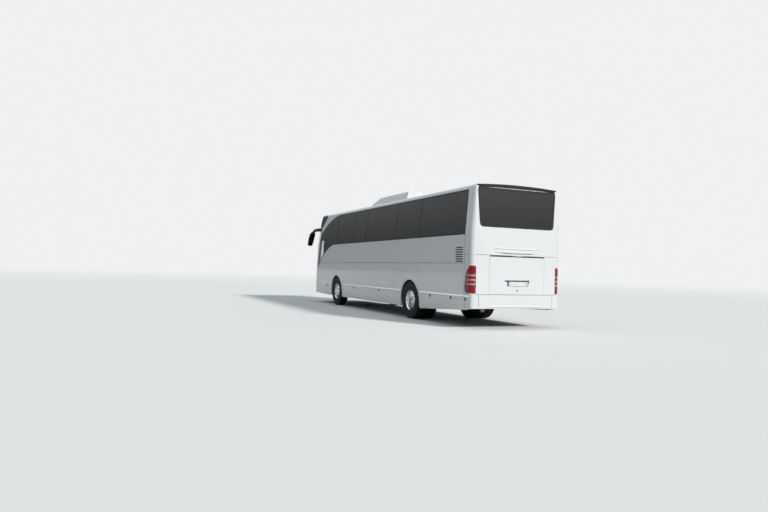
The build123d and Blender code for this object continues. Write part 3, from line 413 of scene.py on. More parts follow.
class Skin:
    """Outer surface of the coach, found by rays against the frame's nodes."""

    def __init__(self, nodes: Iterable[bpy.types.Object]) -> None:
        """Gather the faces of the nodes that make the surface.

        Args:
            nodes: Those nodes of the frame.
        """
        made = Shape()
        for mesh in (node.data for node in nodes):
            made.join(Shape([v.co.copy() for v in mesh.vertices], [tuple(p.vertices) for p in mesh.polygons]))
        self.tree = BVHTree.FromPolygons(made.points, made.faces)

    def touch(self, view: View, u: float, v: float) -> tuple[Vector, Vector]:
        """Find the body under a flat point, bridging the gaps between panels.

        Args:
            view: Side that the point is laid on.
            u: First flat coordinate.
            v: Second flat coordinate.

        Returns:
            The point on the body and the surface's normal there.
        """
        found = []
        for reach in REACHES:
            for du, dv in ((0, 0), (reach, 0), (-reach, 0), (0, reach), (0, -reach)):
                start, direction = view.ray(u + du, v + dv)
                place, normal, _, distance = self.tree.ray_cast(start, direction)
                if place is not None:
                    found.append((distance, normal if normal.dot(direction) < 0 else -normal))
            if found:
                break
        else:
            raise ValueError(f"no body under {view.name} {u:.3f}, {v:.3f}")
        start, direction = view.ray(u, v)
        nearest, normal = min(found, key=lambda hit: hit[0])
        depth = found[0][0] if found[0][0] < nearest + GAP_DEPTH else nearest
        return start + direction * depth, normal

    def ribbon(self, view: View, path: Sequence[Flat], width: float, lift: float, crown: float = 0.0,
               loop: bool = False) -> Shape:
        """Narrow band that follows the body under a flat path.

        Args:
            view: Side that the path is laid on.
            path: Corners of the path.
            width: Width of the band.
            lift: How far the band's edges stand off the body.
            crown: How much further its middle stands.
            loop: Whether the path closes.

        Returns:
            The band as a closed solid.
        """
        fine: list[Vector] = []
        ends = [*path, path[0]] if loop else path
        for a, b in zip(map(Vector, ends), map(Vector, ends[1:])):
            steps = max(1, math.ceil((b - a).length / GRID_GAP))
            fine += [a.lerp(b, step / steps) for step in range(steps)]
        if not loop:
            fine.append(Vector(ends[-1]))
        rings = []
        for index, point in enumerate(fine):
            if loop:
                along = fine[(index + 1) % len(fine)] - fine[index - 1]
            else:
                along = fine[min(index + 1, len(fine) - 1)] - fine[max(index - 1, 0)]
            across = Vector((-along.y, along.x)).normalized() * width / 2
            rings.append([])
            for share, height in ((-1, -SUNK), (-1, lift), (0, lift + crown), (1, lift), (1, -SUNK)):
                place, normal = self.touch(view, *(point + across * share))
                rings[-1].append(place + normal * height)
        return strip(rings, loop=loop)

    def patch(self, view: View, low: Flat, high: Flat, lift: float, cells: tuple[int, int] = (6, 6)) -> Shape:
        """Thin sheet laid on the body over a rectangle.

        Args:
            view: Side that the rectangle is laid on.
            low: Its lower corner.
            high: Its upper corner.
            lift: Height of the sheet over the body.
            cells: Cells along the first and second coordinate.

        Returns:
            The sheet as a closed solid.
        """
        rings = []
        for i in range(cells[0] + 1):
            u = low[0] + (high[0] - low[0]) * i / cells[0]
            line = [self.touch(view, u, low[1] + (high[1] - low[1]) * j / cells[1])
                    for j in range(cells[1] + 1)]
            rings.append([place + normal * lift for place, normal in line])
            rings[-1] += [place - normal * SUNK for place, normal in reversed(line)]
        return strip(rings)

    def on(self, view: View, u: float, v: float, form: Shape) -> Shape:
        """Stand a form on the body, its Z along the surface's normal."""
        return form.placed(facing(*self.touch(view, u, v)))


class Sketch(Nodes):
    """One material under construction, with its nodes reading Object coordinates."""

    def __init__(self, name: str) -> None:
        """Start a material with a Principled surface.

        Args:
            name: Name of the material.
        """
        self.material = bpy.data.materials.new(name)
        self.material.use_nodes = True
        super().__init__(self.material.node_tree)
        self.surface = self.tree.nodes["Principled BSDF"]
        self.place = self.node("ShaderNodeTexCoord").outputs["Object"]

    def set(self, **values: object) -> None:
        """Set or link inputs of the surface; an underscore in a name stands for a space."""
        for key, value in values.items():
            self.feed(self.surface.inputs[key.replace("_", " ")], value)

    def noise(self, scale: float, detail: float = 3.0, stretch: Sequence[float] = ()) -> bpy.types.NodeSocket:
        """Noise of the given scale, from 0 to 1, stretched along the axes.

        Args:
            scale: How fine the noise is.
            detail: Steps of finer noise on it.
            stretch: Scale along each axis, where they differ.

        Returns:
            The noise.
        """
        where = self.place
        if stretch:
            where = self.node("ShaderNodeMapping", {"Vector": where, "Scale": stretch}).outputs[0]
        inputs = {"Vector": where, "Scale": scale, "Detail": detail}
        return self.node("ShaderNodeTexNoise", inputs).outputs["Fac"]

    def wave(self, scale: float, axis: str) -> bpy.types.NodeSocket:
        """Straight waves along one axis."""
        return self.node("ShaderNodeTexWave", {"Vector": self.place, "Scale": scale}, wave_type="BANDS",
                         bands_direction=axis, wave_profile="SIN").outputs["Fac"]

    def height(self, axis: str = "Z") -> bpy.types.NodeSocket:
        """One coordinate of the place, in metres."""
        return self.node("ShaderNodeSeparateXYZ", {0: self.place}).outputs[axis]

    def blend(self, share: object, first: object, second: object) -> bpy.types.NodeSocket:
        """Mix two colours."""
        return self.node("ShaderNodeMix", {0: share, 6: first, 7: second}, data_type="RGBA").outputs[2]

    def bump(self, value: bpy.types.NodeSocket, depth: float) -> None:
        """Raise the surface by a value, over a depth in metres."""
        inputs = {"Height": value, "Distance": depth, "Strength": 1.0}
        self.set(Normal=self.node("ShaderNodeBump", inputs).outputs[0])


@dataclass(frozen=True)
class Paint:
    """Coach paint: a glossy white with a faint road film low down."""

    name: str
    color: Color
    film: Color = (0.46, 0.45, 0.42)
    film_share: float = 0.16

    def build(self) -> bpy.types.Material:
        """Make the material.

        Returns:
            The material.
        """
        s = Sketch(self.name)
        low = s.remap(s.height(), 0.30, 1.05, 1.0, 0.0)
        patchy = s.remap(s.noise(1.1, 4.0, (1.0, 0.3, 1.6)), 0.25, 0.85)
        film = s.math("MULTIPLY", s.math("MULTIPLY", low, patchy), self.film_share)
        clouded = s.blend(s.remap(s.noise(0.7, 2.0), 0.3, 0.7, 0.0, 0.05), self.color, self.film)
        s.set(Base_Color=s.blend(film, clouded, self.film), Roughness=s.remap(film, 0.0, 0.3, 0.26, 0.55),
              Coat_Weight=0.65, Coat_Roughness=0.05, IOR=1.5)
        flake = s.math("MULTIPLY", s.noise(260.0), 0.004)
        s.bump(s.math("ADD", s.noise(1.1, 1.0, (1.0, 0.55, 1.0)), flake), 0.010)
        return s.material


@dataclass(frozen=True)
class Glass:
    """Tinted pane: dark and glossy, clearer ahead of a given Y where the driver looks out."""

    name: str
    color: Color
    alpha: float
    clear_ahead: float | None = None
    clear_below: float = 2.42
    clear_alpha: float = 0.12
    index: float = 1.5

    def build(self) -> bpy.types.Material:
        """Make the material.

        Returns:
            The material.
        """
        s = Sketch(self.name)
        # base colour lighter in tall random patches
        lighter_patches = s.remap(s.noise(3.0, 4.0, (1.0, 1.0, 0.3)), 0.35, 0.75, 0.0, 0.4)
        s.set(Base_Color=s.blend(lighter_patches, self.color, tuple(c * 1.6 for c in self.color)),
              Roughness=s.remap(s.noise(9.0, 4.0), 0.3, 0.8, 0.015, 0.05), IOR=self.index, Alpha=self.alpha)
        if self.clear_ahead is not None:
            ahead = s.remap(s.height("Y"), self.clear_ahead - 0.02, self.clear_ahead, 1.0, 0.0)
            below = s.remap(s.height(), self.clear_below - 0.02, self.clear_below, 1.0, 0.0)
            s.set(Alpha=s.remap(s.math("MULTIPLY", ahead, below), 0.0, 1.0, self.alpha, self.clear_alpha))
        s.bump(s.noise(0.9, 1.0), 0.004)
        return s.material


@dataclass(frozen=True)
class Plain:
    """Plastic, rubber or painted metal with grain, tone variation and dust in its low places."""

    name: str
    color: Color
    second: Color
    roughness: float = 0.5
    grain: float = 400.0
    grain_depth: float = 0.0004
    metallic: float = 0.0
    coat: float = 0.0
    spread: float = 6.0
    gloss: float = 0.5
    # distance from the coach's middle past which the part is in body colour
    painted_past: float | None = None

    def build(self) -> bpy.types.Material:
        """Make the material.

        Returns:
            The material.
        """
        s = Sketch(self.name)
        patches = s.remap(s.noise(self.spread, 5.0), 0.35, 0.75)
        color = s.blend(patches, self.color, self.second)
        if self.painted_past is not None:
            out = s.math("ABSOLUTE", s.height("X"), 0.0)
            color = s.blend(s.remap(out, self.painted_past, self.painted_past + 0.004), color, WHITE)
        worn = min(1.0, self.roughness * 1.35)
        s.set(Base_Color=color, Roughness=s.remap(patches, 0.0, 1.0, self.roughness, worn),
              Metallic=self.metallic, Coat_Weight=self.coat, Coat_Roughness=0.06,
              Specular_IOR_Level=self.gloss)
        s.bump(s.noise(self.grain, 3.0), self.grain_depth)
        return s.material


@dataclass(frozen=True)
class Lens:
    """Lamp lens with small prisms behind a glossy front."""

    name: str
    color: Color
    deep: Color
    pitch: float = 34.0

    def build(self) -> bpy.types.Material:
        """Make the material.

        Returns:
            The material.
        """
        s = Sketch(self.name)
        cells = s.math("MULTIPLY", s.wave(self.pitch, "Z"), s.wave(self.pitch, "DIAGONAL"))
        s.set(Base_Color=s.blend(s.remap(cells, 0.0, 0.8), self.deep, self.color), Roughness=0.22,
              Coat_Weight=0.3, Coat_Roughness=0.02, IOR=1.5, Specular_IOR_Level=0.25)
        s.bump(cells, 0.0012)
        return s.material


@dataclass(frozen=True)
class Tyre:
    """Tyre rubber with road dust."""

    name: str

    def build(self) -> bpy.types.Material:
        """Make the material.

        Returns:
            The material.
        """
        s = Sketch(self.name)
        dust = s.remap(s.noise(14.0, 6.0), 0.42, 0.75, 0.0, 0.55)
        s.set(Base_Color=s.blend(dust, (0.010, 0.010, 0.011), (0.040, 0.038, 0.035)),
              Roughness=s.remap(dust, 0.0, 0.55, 0.62, 0.9), Specular_IOR_Level=0.25)
        s.bump(s.noise(180.0, 4.0), 0.0008)
        return s.material


@dataclass(frozen=True)
class Cloth:
    """Woven seat cloth with a fine check and a soft sheen."""

    name: str
    color: Color
    second: Color

    def build(self) -> bpy.types.Material:
        """Make the material.

        Returns:
            The material.
        """
        s = Sketch(self.name)
        fleck = s.remap(s.noise(46.0, 2.0), 0.45, 0.6)
        s.set(Base_Color=s.blend(fleck, self.color, self.second), Roughness=0.92, Sheen_Weight=0.4,
              Sheen_Roughness=0.4)
        s.bump(s.math("MULTIPLY", s.wave(90.0, "X"), s.wave(90.0, "Z")), 0.0012)
        return s.material


@dataclass(frozen=True)
class Frame:
    """Underframe: dark chassis coating below, speckled vinyl on the floors above."""

    name: str
    floor_height: float = 0.86

    def build(self) -> bpy.types.Material:
        """Make the material.

        Returns:
            The material.
        """
        s = Sketch(self.name)
        normal = s.node("ShaderNodeNewGeometry").outputs["Normal"]
        up = s.node("ShaderNodeSeparateXYZ", {0: normal}).outputs["Z"]
        high = s.remap(s.height(), self.floor_height - 0.02, self.floor_height)
        floor = s.math("MULTIPLY", s.remap(up, 0.8, 0.9), high)
        specks = s.blend(s.remap(s.noise(320.0, 2.0), 0.55, 0.62), (0.17, 0.18, 0.20), (0.36, 0.37, 0.39))
        grime = s.blend(s.remap(s.noise(5.0, 6.0), 0.4, 0.7), (0.022, 0.022, 0.023), (0.085, 0.078, 0.068))
        s.set(Base_Color=s.blend(floor, grime, specks), Roughness=s.remap(floor, 0.0, 1.0, 0.82, 0.5))
        s.bump(s.noise(60.0, 5.0), 0.0015)
        return s.material


WHITE = (0.83, 0.845, 0.86)
DEEP_BLACK = ((0.010, 0.011, 0.013), (0.013, 0.015, 0.017), 0.30, 90.0, 0.0001)
FINISHES = {
    "paint": Paint("coach_white", WHITE),
    "pod": Plain("pod_white", (0.74, 0.76, 0.78), (0.66, 0.68, 0.70), 0.38, 120.0, 0.0004, coat=0.2),
    "side_glass": Glass("side_glass", (0.008, 0.012, 0.012), 0.95, clear_ahead=-4.66, index=1.6),
    "rear_glass": Glass("rear_glass", (0.012, 0.014, 0.014), 0.95, index=2.0),
    "door_glass": Glass("door_glass", (0.012, 0.016, 0.016), 0.42),
    "screen": Glass("screen_glass", (0.020, 0.030, 0.028), 0.16),
    "dome": Plain("dome_black", *DEEP_BLACK, gloss=0.22),
    "strip": Plain("strip_black", *DEEP_BLACK, gloss=0.22, painted_past=1.15),
    "seal": Plain("seal_rubber", (0.010, 0.010, 0.010), (0.024, 0.024, 0.024), 0.55, gloss=0.3),
    "black": Plain("black_plastic", (0.014, 0.014, 0.015), (0.034, 0.034, 0.035), 0.42, gloss=0.35),
    # near black for the wheel liners, and painted shade in the louvre slots, front openings, fan wells and
    # hand holes
    "grille": Plain("liner_black_and_painted_shade", (0.008, 0.008, 0.009), (0.020, 0.020, 0.020), 0.6),
    "tyre": Tyre("tyre_rubber"),
    "rim": Plain("rim_polished", (0.84, 0.85, 0.86), (0.70, 0.70, 0.69), 0.10, 30.0, 0.0002, 1.0, spread=9.0),
    # bright metal for the strip along the crease, which stands in for the crease's highlight
    "crease_highlight_metal": Plain("crease_highlight_metal", (0.90, 0.91, 0.92), (0.82, 0.83, 0.84), 0.16, 120.0, 0.0001, 1.0,
                         spread=2.0),
    "steel": Plain("bright_steel", (0.62, 0.63, 0.64), (0.50, 0.50, 0.50), 0.25, 200.0, metallic=1.0),
    "iron": Plain("axle_iron", (0.030, 0.030, 0.031), (0.11, 0.095, 0.08), 0.7, 90.0, 0.0016),
    "engine": Plain("engine_iron", (0.16, 0.17, 0.18), (0.08, 0.08, 0.08), 0.6, 70.0, 0.002),
    "exhaust": Plain("exhaust_steel", (0.30, 0.28, 0.26), (0.16, 0.12, 0.10), 0.45, 60.0, metallic=0.9),
    "red": Lens("lens_red", (0.46, 0.004, 0.008), (0.22, 0.001, 0.003)),
    "white_lens": Lens("lens_white", (0.72, 0.58, 0.55), (0.46, 0.32, 0.29)),
    "marker": Lens("lens_marker", (0.16, 0.045, 0.006), (0.09, 0.02, 0.003)),
    "amber": Lens("lens_amber", (0.72, 0.24, 0.015), (0.46, 0.11, 0.01)),
    "clear_lens": Lens("lens_clear", (0.78, 0.81, 0.84), (0.40, 0.43, 0.46), 22.0),
    "mirror": Plain("mirror_silver", (0.30, 0.33, 0.37), (0.26, 0.29, 0.33), 0.03, 10.0, 0.0, 1.0),
    "plate": Plain("plate_white", (0.80, 0.81, 0.82), (0.74, 0.75, 0.76), 0.35, 300.0, 0.0001),
    "plate_band": Plain("plate_blue", (0.02, 0.06, 0.32), (0.03, 0.08, 0.36), 0.35, 300.0, 0.0001),
    "cloth": Cloth("seat_cloth", (0.035, 0.055, 0.11), (0.10, 0.13, 0.20)),
    "shell": Plain("seat_shell", (0.07, 0.07, 0.075), (0.11, 0.11, 0.12), 0.5),
    "trim": Plain("cab_trim", (0.055, 0.056, 0.060), (0.09, 0.09, 0.095), 0.6, 500.0),
    "rack": Plain("rack_grey", (0.42, 0.43, 0.44), (0.36, 0.37, 0.38), 0.5),
    "frame": Frame("underframe_coating"),
}


@dataclass
class Coach:
    """What every sub-assembly needs: the frame's nodes, the surface to lay things on, and the finishes."""

    nodes: dict[str, bpy.types.Object]
    skin: Skin
    finishes: dict[str, bpy.types.Material]
    along: Repeater
    around: Repeater

    def flaps(self, side: str) -> list[tuple[str, Vector, Vector]]:
        """Name and box corners of each flap on a side."""
        return [(name, *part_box(name)) for name in sorted(self.nodes) if "flap" in name and side in name]

    def piece(self, name: str, shape: Shape, finish: str, body: str = "chassis",
              sharp: float = 32.0) -> bpy.types.Object:
        """Turn a shape into a finished piece that rides on a body, and report it.

        Args:
            name: The piece's name.
            shape: Its points and faces.
            finish: Name of its finish.
            body: The body that it moves with.
            sharp: Angle in degrees from which an edge stays sharp.

        Returns:
            The object.
        """
        mesh = bpy.data.meshes.new(name)
        mesh.from_pydata(shape.points, [], shape.faces)
        tidy = bmesh.new()
        tidy.from_mesh(mesh)
        bmesh.ops.remove_doubles(tidy, verts=tidy.verts, dist=1e-5)
        bmesh.ops.dissolve_degenerate(tidy, edges=tidy.edges, dist=1e-6)
        bmesh.ops.recalc_face_normals(tidy, faces=tidy.faces)
        tidy.to_mesh(mesh)
        tidy.free()
        mesh.materials.append(self.finishes[finish])
        mesh.shade_smooth()
        mesh.set_sharp_from_angle(angle=math.radians(sharp))
        made = bpy.data.objects.new(name, mesh)
        bpy.context.scene.collection.objects.link(made)
        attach(made, body)
        LOG.info("%s: %d faces on %s", name, len(shape.faces), body)
        return made

    def laid(self, name: str, bands: Iterable[tuple], finish: str = "seal", body: str = "chassis") -> None:
        """Make one piece of bands laid on the body, each given as ribbon takes it."""
        self.piece(name, Shape().join(*(self.skin.ribbon(*band) for band in bands)), finish, body)


@dataclass
class CarriedOver:
    """Frame nodes that keep their shape and only get a finish."""

    finishes: dict[str, str] = field(default_factory=lambda: {
        "ac_unit": "pod", "roof_hatches": "pod", "air_springs": "seal", "cockpit": "trim",
        "door_glass": "door_glass", "side_glass": "side_glass", "rear_window": "rear_glass",
        "windscreen": "screen", "front_dome": "dome", "top_strip": "strip", "engine": "engine",
        "exhaust": "exhaust", "front_axle": "iron", "rear_axle": "iron", "knuckle_left": "iron",
        "knuckle_right": "iron", "headlamps": "black", "tail_lamps": "red", "luggage_racks": "rack",
        "underframe": "frame",
    })

    def dress(self, coach: Coach) -> None:
        """Give every node its material.

        Args:
            coach: The coach to dress.
        """
        for name, node in coach.nodes.items():
            node.data.materials.clear()
            node.data.materials.append(coach.finishes[self.finishes.get(name, "paint")])


@dataclass
class GlassBand:
    """Seals of the side panes, the rear window and the windscreen."""

    belt: float = 2.23
    top: float = 3.31
    end_y: float = 5.93
    joints: tuple = (-3.11, -1.43, -0.30, 2.01, 3.55)
    # three points of the arc over the front panes, and of the sweep under them
    brow: tuple = ((-2.96, 3.31), (-4.11, 3.105), (-5.02, 2.69))
    sill: tuple = ((-5.29, 1.375), (-4.44, 1.96), (-3.53, 2.23))
    edge: float = 0.030
    edge_lift: float = 0.0012
    joint_seal: float = 0.020
    lift: float = 0.0015
    door_reach: Flat = (-5.05, -3.81)
    rear: tuple = ((1.094, 3.325), (1.041, 2.508), (1.018, 2.460), (0.966, 2.444))
    rear_seal: float = 0.060
    # half width, height and band width of the windscreen's lower and upper border
    screen: tuple = ((1.16, 1.395, 0.10), (1.12, 2.925, 0.06))
    screen_side: tuple = ((-5.345, 1.40), (-5.070, 2.67), (-5.12, 2.83))
    screen_side_width: float = 0.050

    @staticmethod
    def arc(a: Flat, b: Flat, c: Flat, steps: int = 16) -> list[Flat]:
        """Points of the arc through three points.

        Args:
            a: First point.
            b: A point between.
            c: Last point.
            steps: Number of steps.

        Returns:
            The points from a to c.
        """
        (ax, ay), (bx, by), (cx, cy) = a, b, c
        aa, bb, cc = (x * x + y * y for x, y in (a, b, c))
        d = 2 * (ax * (by - cy) + bx * (cy - ay) + cx * (ay - by))
        ux = (aa * (by - cy) + bb * (cy - ay) + cc * (ay - by)) / d
        uy = (aa * (cx - bx) + bb * (ax - cx) + cc * (bx - ax)) / d
        start, end = math.atan2(ay - uy, ax - ux), math.atan2(cy - uy, cx - ux)
        if abs(end - start) > math.pi:
            end += math.copysign(2 * math.pi, start - end)
        radius = math.hypot(ax - ux, ay - uy)
        turns = [start + (end - start) * step / steps for step in range(steps + 1)]
        return [(ux + radius * math.cos(t), uy + radius * math.sin(t)) for t in turns]

    def outline(self, inset: float) -> list[Flat]:
        """Outline of the band, pulled in by an inset.

        Args:
            inset: How far it is pulled in.

        Returns:
            Its points.
        """
        points = [(self.end_y - inset, self.belt + inset), (self.end_y - inset, self.top - inset)]
        points += [(y + inset * 0.4, z - inset) for y, z in self.arc(*self.brow)]
        return points + [(y + inset, z + inset * 0.3) for y, z in self.arc(*self.sill)]

    def beside_door(self, outline: list[Flat]) -> list[list[Flat]]:
        """Runs of the outline that are left where the front door breaks it.

        Args:
            outline: The whole outline.

        Returns:
            The runs.
        """
        runs: list[list[Flat]] = [[]]
        for point in outline + [outline[0]]:
            if not self.door_reach[0] < point[0] < self.door_reach[1]:
                runs[-1].append(point)
            elif runs[-1]:
                runs.append([])
        return [run for run in runs if len(run) > 1]

    def dress(self, coach: Coach) -> None:
        """Lay the seals on both sides, the rear and the front.

        Args:
            coach: The coach to dress.
        """
        outline = self.outline(self.edge / 2)
        for name, view in SIDES.items():
            bands = [(view, [(y, self.belt), (y, self.top)], self.joint_seal, self.lift) for y in self.joints]
            if view is View.LEFT:
                bands.append((view, outline, self.edge, self.edge_lift, 0.0, True))
            else:
                bands += [(view, run, self.edge, self.edge_lift) for run in self.beside_door(outline)]
            coach.laid(f"side_glass_seals_{name}", bands)
        rear = [*self.rear, *((-x, z) for x, z in reversed(self.rear))]
        coach.laid("rear_window_seal", [(View.REAR, rear, self.rear_seal, self.lift, 0.0, True)])
        front = [(View.FRONT, [(-x, z), (x, z)], width, self.lift) for x, z, width in self.screen]
        front += [(view, self.screen_side, self.screen_side_width, self.lift) for view in SIDES.values()]
        coach.laid("windscreen_border", front)


@dataclass
class Seams:
    """Dark joint lines between the fixed panels, where the gap itself is too fine to show."""

    width: float = 0.007
    lift: float = 0.0006
    waist: float = 1.5515
    corner_y: float = 5.93
    end_y: float = 6.19
    tail_seam: float = 1.7548
    rear_seam_x: float = 1.06
    nose_y: float = -5.30

    def dress(self, coach: Coach) -> None:
        """Draw each seam on the body.

        Args:
            coach: The coach to dress.
        """
        corner, end, nose, tail, waist = self.corner_y, self.end_y, self.nose_y, self.tail_seam, self.waist
        lines = []
        for view, start in ((View.LEFT, -5.13), (View.RIGHT, -3.81)):
            lines += [(view, path) for path in (
                ((corner, 0.47), (corner, 3.40)), ((corner, tail), (end, tail)),
                ((corner, BUMPER_SEAM), (end, BUMPER_SEAM)), ((nose, 0.39), (nose, 1.37)),
                ((nose, BUMPER_SEAM), (-5.56, BUMPER_SEAM)), ((start, waist), (-2.41, waist)),
                ((1.95, waist), (3.56, waist)))]
            inner = view.sign * self.rear_seam_x
            lines += [(View.REAR, ((view.sign * 1.215, tail), (view.sign * 0.80, tail))),
                      (View.REAR, ((inner, 0.50), (inner, 0.815)))]
        lines += [(View.REAR, ((-1.21, BUMPER_SEAM), (1.21, BUMPER_SEAM))),
                  (View.FRONT, ((-1.15, BUMPER_SEAM), (1.15, BUMPER_SEAM))),
                  (View.TOP, ((-1.1, corner), (1.1, corner)))]
        coach.laid("panel_seams", [(view, path, self.width, self.lift) for view, path in lines])


@dataclass
class FlapEdges:
    """Rubber edges of flaps and lid, the lid's widened into painted shadow of the gap over it, and a bright
    metal strip along the crease that stands in for the crease's highlight, each on its own body.
    """

    edge: float = 0.005
    lift: float = 0.0006
    waist: float = 1.557
    crease: float = 0.768
    # outwards and up round the section of the bright strip that paints the crease's highlight, and the height
    # over the crease where it is hung
    highlight_section: tuple = ((-0.001, 0.000), (0.012, -0.027), (0.012, -0.033), (-0.024, -0.034))
    hung: float = 0.020
    arch_reach: float = 0.668
    step: float = 0.3
    # the fixed panels' share of the crease, after a first run behind the nose that differs by side
    fixed: tuple = ((-5.68, -5.31), (1.945, 3.5545), (5.935, 6.16))
    # width of the lid's dark top band: its rubber edge, widened into painted shadow of the gap over the lid
    lid_edge: float = 0.024

    def dress(self, coach: Coach) -> None:
        """Lay the edges and the moulding.

        Args:
            coach: The coach to dress.
        """
        half = self.edge / 2
        for view, start, waist_end in ((View.LEFT, -5.30, 1.94), (View.RIGHT, -3.82, 1.07)):
            side = view.name.lower()
            runs = {"chassis": [self.fixed[0], (start, -2.4145), *self.fixed[1:]]}
            for node, low, high in coach.flaps(side):
                path = [(low.y + half, high.z - half), (high.y - half, high.z - half)]
                coach.laid(f"{node}_edge", [(view, path, self.edge, self.lift)], body=node)
                runs[node] = [(low.y + 0.001, high.y - 0.001)]
            coach.laid(f"waist_edge_{side}", [(view, [(a, self.waist), (b, self.waist)], self.edge, self.lift)
                                              for a, b in ((-2.41, waist_end), (3.56, 5.93))])
            for body, pieces in runs.items():
                self.crease_highlight_strip(coach, view, body, pieces)
        # the lid's dark top band is partly rubber edge and partly painted shadow of the gap over it
        low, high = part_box("engine_lid")
        top = high.z - 0.013
        path = [(low.x + 0.004, top), (high.x - 0.004, top)]
        coach.laid("engine_lid_edge", [(View.REAR, path, self.lid_edge, 0.0012)], body="engine_lid")

    def crease_highlight_strip(self, coach: Coach, view: View, body: str, runs: list[Flat]) -> None:
        """Bright metal strip of one body, a painted highlight along the crease, kept clear of the wheel
        arches.

        Args:
            coach: The coach.
            view: Its side.
            body: The body that it rides on.
            runs: Ends of each run along the coach.
        """
        reach = math.sqrt(self.arch_reach ** 2 - (self.crease - ARCH_HEIGHT) ** 2)
        for axle in (FRONT_AXLE, REAR_AXLE):
            runs = [part for a, b in runs for part in ((a, min(b, axle - reach)), (max(a, axle + reach), b))
                    if part[1] - part[0] > 0.02]
        # bright metal strip whose reflection paints the crease's highlight
        made = Shape()
        for a, b in runs:
            steps = max(1, math.ceil((b - a) / self.step))
            places = [coach.skin.touch(view, a + (b - a) * step / steps, self.crease + self.hung)[0]
                      for step in range(steps + 1)]
            made.join(strip([[place + Vector((view.sign * out, 0.0, up)) for out, up in self.highlight_section]
                             for place in places]))
        if made.points:
            label = view.name.lower() if body == "chassis" else body
            coach.piece(f"crease_{label}", made, "crease_highlight_metal", body)


@dataclass
class Arches:
    """Flared lips round the wheel openings, and the dark liners inside them."""

    edge: float = 0.634
    # distance from the axle's centre and out from the body, round the lip's section
    section: tuple = ((0.647, -0.001), (0.641, 0.005), (0.622, 0.010), (0.592, 0.010), (0.576, 0.004),
                      (0.572, -0.010), (0.582, -0.016), (0.604, -0.010), (0.613, -0.003))
    steps: int = 36
    split: float = 3.5575
    split_gap: float = 0.0035
    liner_radius: float = 0.600
    liner_wall: float = 0.005
    liner_reach: Flat = (0.665, 1.195)
    liner_turns: Flat = (-9.0, 189.0)
    front_turns: Flat = (-14.0, 194.0)
    rear_turns: Flat = (16.0, 194.0)
    flap_turns: Flat = (-12.0, 31.0)

    def turns(self, first: float, last: float) -> list[Flat]:
        """Direction of each step between two angles in degrees."""
        angles = [math.radians(first + (last - first) * step / self.steps) for step in range(self.steps + 1)]
        return [(math.cos(angle), math.sin(angle)) for angle in angles]

    def lip(self, coach: Coach, view: View, axle_y: float, turns: Flat,
            reach: Flat = (-FAR_AWAY, FAR_AWAY)) -> Shape:
        """One lip round an axle.

        Args:
            coach: The coach.
            view: Its side.
            axle_y: The axle's place along the coach.
            turns: First and last angle in degrees.
            reach: Range along the coach that the lip is held in.

        Returns:
            The lip as a closed solid.
        """
        rings = []
        for across, up in self.turns(*turns):
            place, _ = coach.skin.touch(view, axle_y + self.edge * across, ARCH_HEIGHT + self.edge * up)
            rings.append([Vector((place.x + view.sign * out,
                                  min(max(axle_y + far * across, reach[0]), reach[1]),
                                  ARCH_HEIGHT + far * up)) for far, out in self.section])
        return strip(rings)

    def liner(self, sign: int, axle_y: float) -> Shape:
        """Curved liner of one wheel box, over the tyre.

        Args:
            sign: Side of the coach, 1 or -1.
            axle_y: The axle's place along the coach.

        Returns:
            The liner as a closed solid.
        """
        near, far = (sign * x for x in self.liner_reach)
        thick = self.liner_radius + self.liner_wall
        section = ((near, self.liner_radius), (far, self.liner_radius), (far, thick), (near, thick))
        return strip([[Vector((x, axle_y + r * across, ARCH_HEIGHT + r * up)) for x, r in section]
                      for across, up in self.turns(*self.liner_turns)])

    def dress(self, coach: Coach) -> None:
        """Lay the lips, split where the rear arch runs onto the service flap, and the liners.

        Args:
            coach: The coach to dress.
        """
        low, high = self.split - self.split_gap, self.split + self.split_gap
        for name, view in SIDES.items():
            front, rear = (sum(corner.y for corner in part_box(f"tyre_{end}_{name}")) / 2
                           for end in ("front", "rear"))
            liners = self.liner(view.sign, front).join(self.liner(view.sign, rear))
            coach.piece(f"wheel_liners_{name}", liners, "grille")
            lips = self.lip(coach, view, front, self.front_turns)
            lips.join(self.lip(coach, view, rear, self.rear_turns, (-FAR_AWAY, low)))
            coach.piece(f"arch_lips_{name}", lips, "paint")
            rest = self.lip(coach, view, rear, self.flap_turns, (high, FAR_AWAY))
            coach.piece(f"arch_lip_flap_{name}", rest, "paint", f"service_flap_{name}_1")


